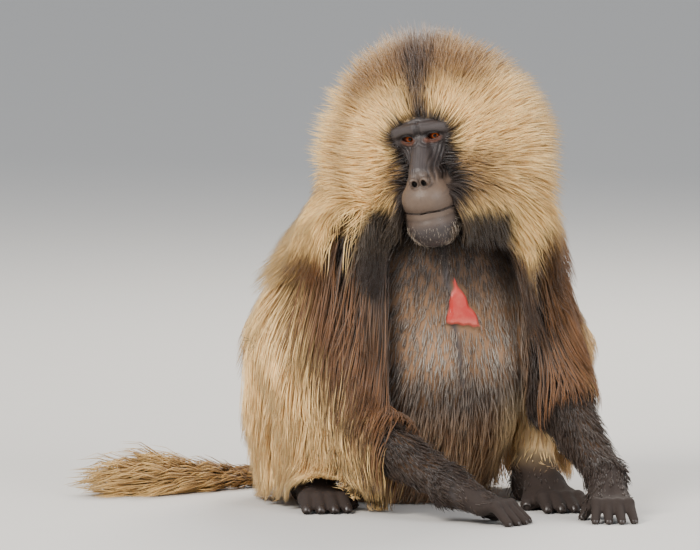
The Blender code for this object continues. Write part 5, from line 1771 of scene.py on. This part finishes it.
@dataclass
class Mane(LongHair):
    """Crown, ruffs and nape round the head."""

    crown_edge: float = 46.0
    nape_depth: float = 0.100
    floor: float = 0.352
    ceiling: float = 0.628
    rings: int = 4
    width: float = 0.0015
    depth: float = 0.0006
    wander: float = 0.16
    loose_share: float = 0.10
    angles: tuple = (16.0, 26.0, 38.0, 54.0, 71.0, 90.0, 116.0, 142.0, 180.0)
    travels: tuple = (0.008, 0.017, 0.030, 0.040, 0.052, 0.068, 0.104, 0.130, 0.130)
    tip_shares: tuple = (0.40, 0.64, 0.86, 1.00, 1.00, 1.00, 1.00, 1.00, 1.00)

    def angles_of(self, roots: Array) -> tuple[Array, Array]:
        """The way round the face, 0 at the top and above 0 on the left, and the angle away from straight ahead.

        Args:
            roots: Roots of the tufts.

        Returns:
            Both angles in radians.
        """
        away = STANCE.to_head(roots) - np.array(COAT.mane_centre)
        turn = np.arctan2(away[:, 0], away[:, 2])
        return turn, np.arctan2(np.hypot(away[:, 0], away[:, 2]), -away[:, 1])

    def piece_of(self, roots: Array) -> Array:
        """The number of the piece that each root belongs to: crown, right ruff, left ruff or nape.

        Args:
            roots: Roots of the tufts.

        Returns:
            The numbers.
        """
        turn = np.degrees(self.angles_of(roots)[0])
        piece = np.where(np.abs(turn) < self.crown_edge, 0, np.where(turn < 0.0, 1, 2))
        return np.where(STANCE.to_head(roots)[:, 1] > self.nape_depth, 3, piece)

    def spots(self, roots: Array) -> Array:
        """Places on an unwrap of the head: the way round the face, with the angle away from it as the distance."""
        turn, angle = self.angles_of(roots)
        return 0.5 + 0.48 * (angle / math.pi)[:, None] * np.stack((np.sin(turn), np.cos(turn)), axis=1)

    def rooted(self, roots: Array) -> Array:
        """Which places carry the mane: off the bare face and the throat, and above the shoulders.

        Args:
            roots: Roots of the tufts.

        Returns:
            True where they do.
        """
        throat = ball(STANCE.to_head(roots), (0.0, -0.030, -0.185), (0.085, 0.130, 0.105))
        skin_value, _, _ = self.sampled.at(roots)
        keep = HEAD.bare(roots, 0.004) < self.draw.random(len(roots)) * 0.9 + 0.02
        return keep & (throat > -0.004) & (roots[:, 2] > self.floor) & (skin_value > -0.016)

    def clear(self, paths: Array) -> Array:
        """Which tufts stay off the chest and under the ceiling.

        Args:
            paths: Places along each tuft.

        Returns:
            True where they do.
        """
        x, y, z = paths[..., 0], paths[..., 1], paths[..., 2]
        chest = (x > -0.050) & (x < 0.118) & (y < -0.02) & (z < 0.325)
        return ~chest.any(axis=1) & (z.max(axis=1) < self.ceiling)

    def build(self, counts: Sequence[int]) -> None:
        """Makes the four pieces.

        Args:
            counts: How many tufts the crown, each ruff and the nape have.
        """
        low, high = np.array((-0.20, -0.20, 0.335)), np.array((0.20, 0.20, 0.60))
        roots, _ = self.skin.scatter(max(counts) * 14, self.draw, low, high)
        roots = roots[self.rooted(roots)]
        piece = self.piece_of(roots)
        material = CoatFinish("mane", 0.48, 1.20, 1.13).make()
        for number, name in enumerate(("crown", "ruff_right", "ruff_left", "nape")):
            mine = roots[piece == number][:counts[number]]
            turn, angle = (np.degrees(values) for values in self.angles_of(mine))
            low_turn = np.clip((np.abs(turn) - 85.0) / 45.0, 0.0, 1.0) * (angle < 110.0)
            draws = self.draw.random(len(mine))
            travel = np.interp(angle, self.angles, self.travels) * (1.0 + 1.20 * low_turn)
            travel = travel * (0.72 + 0.36 * self.draw.random(len(mine)))
            tips = np.interp(angle, self.angles, self.tip_shares)
            tips = tips * (1.11 - 0.40 * self.draw.random(len(mine)) ** 1.6)
            loose = self.draw.random(len(mine)) < self.loose_share
            tips[loose] = 1.04 + 0.17 * self.draw.random(int(loose.sum()))
            paths, outs = self.trace(mine, travel, tips, self.rings, self.wander)
            clear = self.clear(paths)
            mine, paths, outs, draws, low_turn = (v[clear] for v in (mine, paths, outs, draws, low_turn))
            paths = clump(clump(paths, 10, 0.22), 70, 0.04 + 0.34 * low_turn)
            widths = varied(self.draw, len(mine), 0.70, 0.6)
            tufts = Tufts(name + "_hair", Slot.MANE, self.rings, self.width, self.depth, material)
            tufts.build(paths, outs, widths, self.spots(mine), draws, MARKINGS.mane, (name,))


@dataclass
class Cape(LongHair):
    """Long hair over each shoulder and down the back, open over the chest."""

    rings: int = 5
    width: float = 0.0019
    depth: float = 0.0007
    wander: float = 0.07
    back_edge: float = 118.0
    opening: tuple = (-0.052, 0.150)
    opening_depth: float = 0.045
    heights: tuple = (0.08, 0.165, 0.255, 0.345)
    travels: tuple = (0.090, 0.150, 0.185, 0.195)

    def piece_of(self, roots: Array) -> Array:
        """The number of the piece that each root belongs to: right, left or back."""
        turn = np.degrees(COAT.around(roots)[1])
        return np.where(np.abs(turn) > self.back_edge, 2, np.where(turn < 0.0, 0, 1))

    def spots(self, roots: Array) -> Array:
        """Places on an unwrap of the trunk: the way round it and the height."""
        turn = COAT.around(roots)[1]
        return np.stack((np.mod(turn / (2.0 * math.pi) + 1.0, 1.0), roots[:, 2] / 0.42), axis=1)

    def build(self, counts: Sequence[int]) -> None:
        """Makes the three pieces.

        Args:
            counts: How many tufts the right, left and back pieces have.
        """
        low, high = np.array((-0.30, -0.20, 0.075)), np.array((0.30, 0.30, 0.385))
        roots, _ = self.skin.scatter(max(counts) * 9, self.draw, low, high)
        x, y, z = roots.T
        skin_value, _, _ = self.sampled.at(roots)
        outside = np.maximum.reduce((self.opening[0] - x, x - self.opening[1], y - self.opening_depth))
        outside = outside > -0.012 * self.draw.random(len(roots))
        left_arm = (x > 0.13) & (y < -0.02) & (z < 0.20)
        keep = outside & (skin_value > -0.012) & ~left_arm
        roots = roots[keep]
        piece = self.piece_of(roots)
        material = CoatFinish("cape", 0.50, 1.14, 1.14).make()
        for number, name in enumerate(("cape_right", "cape_left", "cape_back")):
            mine = roots[piece == number][:counts[number]]
            turn = np.degrees(COAT.around(mine)[1])
            draws = self.draw.random(len(mine))
            over_left_arm = np.clip(1.0 - np.abs(turn - 72.0) / 40.0, 0.0, 1.0)
            travel = np.interp(mine[:, 2], self.heights, self.travels)
            travel = travel * (1.0 - 0.45 * over_left_arm) * (0.70 + 0.38 * self.draw.random(len(mine)))
            tips = 1.02 - 0.45 * self.draw.random(len(mine)) ** 1.4
            paths, outs = self.trace(mine, travel, tips, self.rings, self.wander)
            paths = clump(clump(paths, 12, 0.45), 90, 0.40)
            widths = varied(self.draw, len(mine), 0.70, 0.6)
            tufts = Tufts(name + "_hair", Slot.CAPE, self.rings, self.width, self.depth, material)
            tufts.build(paths, outs, widths, self.spots(mine), draws, MARKINGS.cape, (name,))


@dataclass
class ShortCoat:
    """Short fur that breaks the form on trunk, limbs and face."""

    skin: Skin
    draw: np.random.Generator
    rings: int = 3
    limb_length: float = 0.024

    def lay(self, roots: Array, outs: Array, ways: Array, lengths: Array, rise: Array) -> tuple[Array, Array]:
        """Tufts that leave the skin and bend down along the lie.

        Args:
            roots: Places on the skin.
            outs: Unit vectors out of the skin.
            ways: The lie of the coat.
            lengths: Length of each tuft.
            rise: How steeply each stands, from 0 to 1.

        Returns:
            Paths and outs along them.
        """
        flat = units(ways - outs * (ways * outs).sum(axis=1, keepdims=True))
        flat = units(flat + self.draw.normal(0.0, 0.14, flat.shape))
        s = np.linspace(0.0, 1.0, self.rings + 1)
        up = (rise[:, None] * lengths[:, None]) * (1.6 * s - 0.75 * s**2)
        forth = lengths[:, None] * s
        paths = roots[:, None] + flat[:, None] * forth[..., None] + outs[:, None] * (up - 0.0006)[..., None]
        paths[:, :, 2] = np.maximum(paths[:, :, 2], 0.0015)
        return paths, np.repeat(outs[:, None], self.rings + 1, axis=1)

    def trunk(self, count: int) -> None:
        """Chest, belly, throat and whatever the cape leaves open.

        Args:
            count: How many tufts.
        """
        low, high = np.array((-0.16, -0.22, 0.01)), np.array((0.20, 0.10, 0.385))
        roots, outs = self.skin.scatter(count * 5, self.draw, low, high)
        arms = np.minimum.reduce([arm.form(roots) for arm in ARMS])
        legs = np.minimum.reduce([np.minimum(leg.form(roots), leg.foot(roots)) for leg in LEGS])
        p = STANCE.to_head(roots)
        keep = (TRUNK.form(roots) < np.minimum(arms, legs) + 0.002) & (TRUNK.patch(roots, 0.003) < 0.4)
        keep &= (HEAD.coarse(p) > 0.004) & (outs[:, 1] < 0.35)
        roots, outs = roots[keep][:count], outs[keep][:count]
        q = STANCE.to_trunk(roots)
        ways = np.tile((0.0, -0.10, -1.0), (len(roots), 1))
        ways[:, 0] = 0.35 * (roots[:, 0] - 0.05) / 0.1
        belly = smooth(0.22 - roots[:, 2], 0.0, 0.10)
        fringe = smooth(0.13 - roots[:, 2], 0.0, 0.06)
        lengths = (0.016 + 0.020 * belly + 0.040 * fringe) * varied(self.draw, len(roots), 0.7, 0.6)
        lengths = lengths * (1.0 - 0.45 * TRUNK.patch(roots, 0.020))
        paths, facing = self.lay(roots, outs, ways, lengths, np.full(len(roots), 0.20))
        clear = (TRUNK.patch(paths[:, 1:].reshape(-1, 3), 0.002).reshape(len(roots), -1) < 0.5).all(axis=1)
        roots, q, paths, facing = roots[clear], q[clear], paths[clear], facing[clear]
        paths = clump(paths, 7, 0.25)
        turn = np.arctan2(q[:, 0], q[:, 1])
        spots = np.stack((0.5 + turn / (2.0 * math.pi), roots[:, 2] / 0.42), axis=1)
        finish = CoatFinish("short_fur", 0.60, 1.04, 0.92).make()
        tufts = Tufts("trunk_coat", Slot.TRUNK, self.rings, 0.0014, 0.0005, finish)
        widths, draws = varied(self.draw, len(roots), 0.7, 0.6), self.draw.random(len(roots))
        tufts.build(paths, facing, widths, spots, draws, MARKINGS.body)

    def limb(self, limb: Limb, name: str, count: int) -> None:
        """Fur of one limb, which lies along its bones.

        Args:
            limb: The limb.
            name: Name of the piece.
            count: How many tufts.
        """
        chain = [np.asarray(joint, float) for joint in (*limb.joints(), limb.digits()[1][2])]
        low, high = np.min(chain, axis=0) - 0.07, np.max(chain, axis=0) + 0.07
        roots, outs = self.skin.scatter(count * 5, self.draw, low, high)
        keep = (limb.skin(roots) < 0.004) & (TRUNK.form(roots) > 0.0) & (roots[:, 2] > 0.004)
        digit = chain[-1] - chain[-2]
        fade = np.clip(1.15 - (roots - chain[-2]) @ digit / (digit @ digit) / 0.62, 0.0, 1.0)
        keep &= self.draw.random(len(roots)) < fade
        roots, outs = roots[keep][:count], outs[keep][:count]
        best, ways, places = np.full(len(roots), np.inf), np.zeros_like(roots), np.zeros(len(roots))
        for number, (start, stop) in enumerate(zip(chain, chain[1:])):
            run = stop - start
            t = np.clip((roots - start) @ run / (run @ run), 0.0, 1.0)
            away = np.linalg.norm(roots - start - t[:, None] * run, axis=1)
            nearer = away < best
            best[nearer], ways[nearer], places[nearer] = away[nearer], units(run), (number + t)[nearer]
        lengths = self.limb_length * np.interp(places, (0.0, 1.0, 1.9, 2.15, 3.0), (1.30, 1.25, 0.95, 0.50, 0.24))
        lengths = lengths * varied(self.draw, len(roots), 0.7, 0.6)
        ways = ways + np.array((0.0, 0.10, -0.45)) * smooth(2.0 - places, 0.0, 0.6)[:, None]
        rise = np.interp(places, (0.0, 2.0, 3.0), (0.24, 0.16, 0.10))
        paths, facing = self.lay(roots, outs, ways, lengths, rise)
        paths = clump(paths, 6, 0.35)
        turn = np.arctan2((roots - chain[1])[:, 0], (roots - chain[1])[:, 1])
        spots = np.stack((0.5 + turn / (2.0 * math.pi), places / 3.0), axis=1)
        slot = Slot.HAND if "arm" in name else Slot.TRUNK
        tufts = Tufts(name, slot, self.rings, 0.0019, 0.0006, CoatFinish(name, 0.66, 1.10).make())
        widths, draws = varied(self.draw, len(roots), 0.6, 0.6), self.draw.random(len(roots))
        tufts.build(paths, facing, widths, spots, draws, MARKINGS.body)

    def tail(self, count: int) -> None:
        """The tail's fur and its end tuft.

        Args:
            count: How many tufts.
        """
        low, high = np.array((-0.42, 0.02, -0.01)), np.array((-0.02, 0.24, 0.09))
        roots, outs = self.skin.scatter(count * 4, self.draw, low, high)
        ways, places = TAIL.ahead(roots)
        keep = (TAIL.form(roots) < 0.001) & (places > 0.6)
        weight = 0.35 + 0.65 * smooth(places, 3.0, 4.6)
        keep &= self.draw.random(len(roots)) < weight
        roots, outs, ways, places = (values[keep][:count] for values in (roots, outs, ways, places))
        tuft = smooth(places, 3.2, 4.8)
        lengths = (0.024 + 0.058 * tuft) * varied(self.draw, len(roots), 0.7, 0.5)
        paths, facing = self.lay(roots, outs, ways, lengths, 0.26 + 0.10 * tuft)
        paths[:, -1, 2] -= 0.006 * tuft
        paths[:, :, 2] = np.maximum(paths[:, :, 2], 0.0015)
        paths = clump(paths, 9, 0.5)
        turn = np.arctan2(outs[:, 1], outs[:, 2])
        spots = np.stack((0.5 + turn / (2.0 * math.pi), places / 6.0), axis=1)
        tufts = Tufts("tail_tuft", Slot.TAIL, self.rings, 0.0022, 0.0007, CoatFinish("tail", 0.55).make())
        draws = self.draw.random(len(roots))
        widths = varied(self.draw, len(roots), 0.7, 0.6)
        tufts.build(paths, facing, widths, spots, draws, MARKINGS.tail, ("tail_end",))


@dataclass
class Eyes:
    """Two eyeballs with a raised cornea, looking ahead."""

    radius: float = 0.0105
    iris_angle: float = 34.0
    look_down: float = 4.0
    look_aside: float = 11.0

    def build(self) -> None:
        """Makes both eyes."""
        material = EyeFinish().make()
        for side in Side:
            self.eyeball(side, material)

    def eyeball(self, side: Side, material: bpy.types.Material) -> None:
        """Makes one eyeball, with each point's angle from the line of sight kept on it.

        Args:
            side: Which eye.
            material: Its material.
        """
        centre = STANCE.from_head((side.value * HEAD.eye_half_span, HEAD.eye_radius, 0.0))
        rows, columns = 40, 48
        angle = np.radians(np.linspace(0.0, 180.0, rows))[:, None]
        turn = np.linspace(0.0, 2.0 * math.pi, columns, endpoint=False)[None]
        bulge = 1.0 + 0.045 * smooth(math.radians(self.iris_angle) - angle, 0.0, math.radians(14.0))
        x = np.sin(angle) * np.cos(turn) * bulge
        z = np.sin(angle) * np.sin(turn) * bulge
        y = -np.cos(angle) * np.ones_like(turn) * bulge
        down = Matrix.Rotation(math.radians(self.look_down), 3, "X")
        gaze = np.array(down @ Matrix.Rotation(math.radians(self.look_aside), 3, "Z"))
        local = np.stack((x, y, z), axis=-1).reshape(-1, 3) * self.radius @ gaze.T
        points = centre + local @ STANCE.head_axes.T
        index = np.arange(rows * columns).reshape(rows, columns)
        around = np.roll(index, -1, axis=1)
        faces = np.stack((index[1:], around[1:], around[:-1], index[:-1]), axis=-1).reshape(-1, 4)
        made = new_mesh(f"{side.word}_eye", points, faces, material)
        off = np.degrees(angle) / 60.0 * np.ones_like(turn)
        spoke = 0.5 + 0.5 * np.cos(turn) * np.ones_like(angle)
        keep_shares(made.data, {"off_axis": off.ravel(), "spoke": spoke.ravel()})
        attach(made, "root")
        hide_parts(f"eye_{side.word}")
        log.info("%s eye: %d faces", side.word, len(faces))


@dataclass
class Nails:
    """A curved nail at the end of each finger and toe."""

    length: float = 1.25
    width: float = 0.78

    def build(self) -> None:
        """Makes all the nails as one piece."""
        points, faces = [], []
        for limb in (*ARMS, *LEGS):
            for _, middle, tip, radius in limb.digits():
                self.add(points, faces, middle, tip, radius)
        points, faces = np.concatenate(points), np.concatenate(faces)
        made = new_mesh("nails", points, faces, NailFinish().make())
        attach(made, "root")
        log.info("nails: %d faces", len(faces))

    def add(self, points: list, faces: list, middle: Array, tip: Array, radius: float) -> None:
        """Adds one closed nail.

        Args:
            points: The points so far.
            faces: The faces so far.
            middle: Middle joint of the digit.
            tip: Its tip.
            radius: Its radius.
        """
        ahead = units(tip - middle)
        across = units(np.cross(ahead, (0.0, 0.0, 1.0)))
        up = np.cross(across, ahead)
        rows, columns = 7, 9
        grid = []
        for thick in (0.0, 1.0):
            for i in range(rows):
                s = i / (rows - 1)
                for j in range(columns):
                    turn = math.radians(-62.0 + 124.0 * j / (columns - 1))
                    wide = radius * self.width * (1.0 - 0.25 * s**3)
                    out = wide * (1.03 - 0.16 * thick)
                    place = tip + ahead * radius * (self.length * s - 0.30) - up * radius * 0.28 * s * s
                    grid.append(place + across * math.sin(turn) * out + up * math.cos(turn) * out)
        number = sum(len(p) for p in points)
        layer = rows * columns
        index = np.arange(layer).reshape(rows, columns)
        top = np.stack((index[:-1, :-1], index[:-1, 1:], index[1:, 1:], index[1:, :-1]), axis=-1).reshape(-1, 4)
        rim = np.concatenate((index[0], index[1:, -1], index[-1, -2::-1], index[-2:0:-1, 0]))
        wall = np.stack((rim, np.roll(rim, -1), np.roll(rim, -1) + layer, rim + layer), axis=-1)
        points.append(np.maximum(np.array(grid), (-1.0, -1.0, 0.0008)))
        faces.append(np.concatenate((top, top[:, ::-1] + layer, wall[:, ::-1])) + number)


@dataclass
class FaceHair:
    """Fine hairs of brow, cheeks, lips and chin."""

    skin: Skin
    draw: np.random.Generator
    rings: int = 3

    def build(self, count: int) -> None:
        """Makes them as one piece.

        Args:
            count: How many.
        """
        middle = STANCE.from_head((0.0, -0.02, -0.06))
        roots, outs = self.skin.scatter(count * 8, self.draw, middle - 0.11, middle + 0.11)
        p = STANCE.to_head(roots)
        bare = HEAD.bare(roots, 0.009)
        side = np.abs(p[:, 0])
        rim = bare * (1.0 - HEAD.bare(roots, 0.003)) * 1.3
        chin = smooth(-p[:, 2], 0.100, 0.116) * smooth(-p[:, 1], -0.035, -0.010)
        lip = hump(p[:, 2], HEAD.mouth_level - 0.006, 0.004) * smooth(-p[:, 1], 0.0, 0.020)
        brow = smooth(p[:, 2], 0.014, 0.022) * smooth(-p[:, 1], -0.020, 0.0)
        eyes = np.hypot((side - HEAD.eye_half_span) / 1.3, p[:, 2]) > 0.011
        flank = 0.35 + 0.65 * smooth(side, 0.008, 0.022)
        chance = np.maximum.reduce((rim, 0.75 * chin * flank, 0.30 * lip * flank, 0.35 * brow, 0.04 * bare))
        keep = self.draw.random(len(roots)) < chance * (bare > 0.01) * eyes
        roots, outs, p, rim, chin = (v[keep][:count] for v in (roots, outs, p, rim, chin))
        ways = units(np.stack((p[:, 0] * 14.0, np.full(len(p), 0.35), p[:, 2] * 6.0 + 0.25), axis=1))
        ways = ways @ STANCE.head_axes.T
        ways = np.where((chin > 0.4)[:, None], np.array((0.0, 0.1, -1.0)), ways)
        lengths = (0.0026 + 0.0105 * rim + 0.0016 * chin) * varied(self.draw, len(roots), 0.6, 0.8)
        short = ShortCoat(self.skin, self.draw)
        paths, facing = short.lay(roots, outs, ways, lengths, np.full(len(roots), 0.22))
        spots = np.stack((0.5 + p[:, 0] / 0.16, 0.5 + (p[:, 2] + 0.06) / 0.22), axis=1)
        finish = CoatFinish("face_hairs", 0.6).make()
        tufts = Tufts("face_hair", Slot.FACE, self.rings, 0.00055, 0.00025, finish)
        widths, draws = varied(self.draw, len(roots), 0.7, 0.6), self.draw.random(len(roots))
        tufts.build(paths, facing, widths, spots, draws, MARKINGS.face_hair)


@dataclass
class Studio:
    """Floor, light and camera."""

    target: tuple = (-0.096, 0.0, 0.2904)
    distance: float = 14.0
    elevation: float = 5.0
    view_width: float = 0.8992
    floor_reach: float = 40.0

    def build(self) -> None:
        """Sets the floor, the lights and the camera."""
        self.floor()
        self.light("key", (-1.9, -2.6, 3.0), 1.9, 214.0, (1.0, 0.955, 0.89))
        self.light("fill", (2.8, -2.4, 1.8), 2.4, 88.0, (0.97, 0.98, 1.0))
        self.light("rim", (0.8, 2.6, 2.8), 1.8, 150.0, (1.0, 0.95, 0.86))
        world = bpy.data.worlds.new("studio")
        world.use_nodes = True
        world.node_tree.nodes["Background"].inputs[0].default_value = (0.78, 0.82, 0.88, 1.0)
        world.node_tree.nodes["Background"].inputs[1].default_value = 0.78
        bpy.context.scene.world = world
        self.camera()
        log.info("studio: floor, three lights and camera")

    def floor(self) -> None:
        """A broad flat floor."""
        corners = ((-1.0, -1.0, 0.0), (1.0, -1.0, 0.0), (1.0, 1.0, 0.0), (-1.0, 1.0, 0.0))
        points = self.floor_reach * np.array(corners)
        new_mesh("floor", points, np.arange(4)[None], FloorFinish().make())

    def light(self, name: str, place: Sequence[float], size: float, power: float, colour: Colour) -> None:
        """Adds one soft light that shines at the animal.

        Args:
            name: Its name.
            place: Where it stands.
            size: How wide it is.
            power: How strong it is, in watts.
            colour: Its colour.
        """
        lamp = bpy.data.lights.new(name, "AREA")
        lamp.shape = "DISK"
        lamp.size = size
        lamp.energy = power
        lamp.color = colour
        made = bpy.data.objects.new(name, lamp)
        made.location = place
        made.rotation_euler = (Vector(self.target) - Vector(place)).to_track_quat("-Z", "Y").to_euler()
        bpy.context.scene.collection.objects.link(made)

    def camera(self) -> None:
        """Adds the camera at the photograph's angle."""
        lens = bpy.data.cameras.new("camera")
        lens.sensor_width = 36.0
        lens.lens = 36.0 * self.distance / self.view_width
        lens.clip_end = 60.0
        made = bpy.data.objects.new("camera", lens)
        angle = math.radians(self.elevation)
        away = Vector((0.0, -math.cos(angle), math.sin(angle))) * self.distance
        made.location = Vector(self.target) + away
        made.rotation_euler = (-away).to_track_quat("-Z", "Y").to_euler()
        bpy.context.scene.collection.objects.link(made)
        bpy.context.scene.camera = made


def main() -> None:
    """Builds every piece in order."""
    logging.basicConfig(level=logging.INFO, format="%(message)s")
    share = 1.0
    draw = np.random.default_rng(11)
    Studio().build()
    skin = Skin(0.0030, 3)
    skin.build()
    Eyes().build()
    Nails().build()
    sampled = Sampled(0.007)
    Mane(skin, sampled, draw).build([int(n * share) for n in (7600, 8600, 8600, 5200)])
    Cape(skin, sampled, draw).build([int(n * share) for n in (6600, 4600, 4200)])
    short = ShortCoat(skin, draw)
    short.trunk(int(7600 * share))
    for limb, word, count in (*((arm, "arm", 6400) for arm in ARMS), *((leg, "leg", 1700) for leg in LEGS)):
        short.limb(limb, f"{limb.side.word}_{word}_coat", int(count * share))
    short.tail(int(2700 * share))
    FaceHair(skin, draw).build(int(2600 * share))


if __name__ == "__main__":
    main()
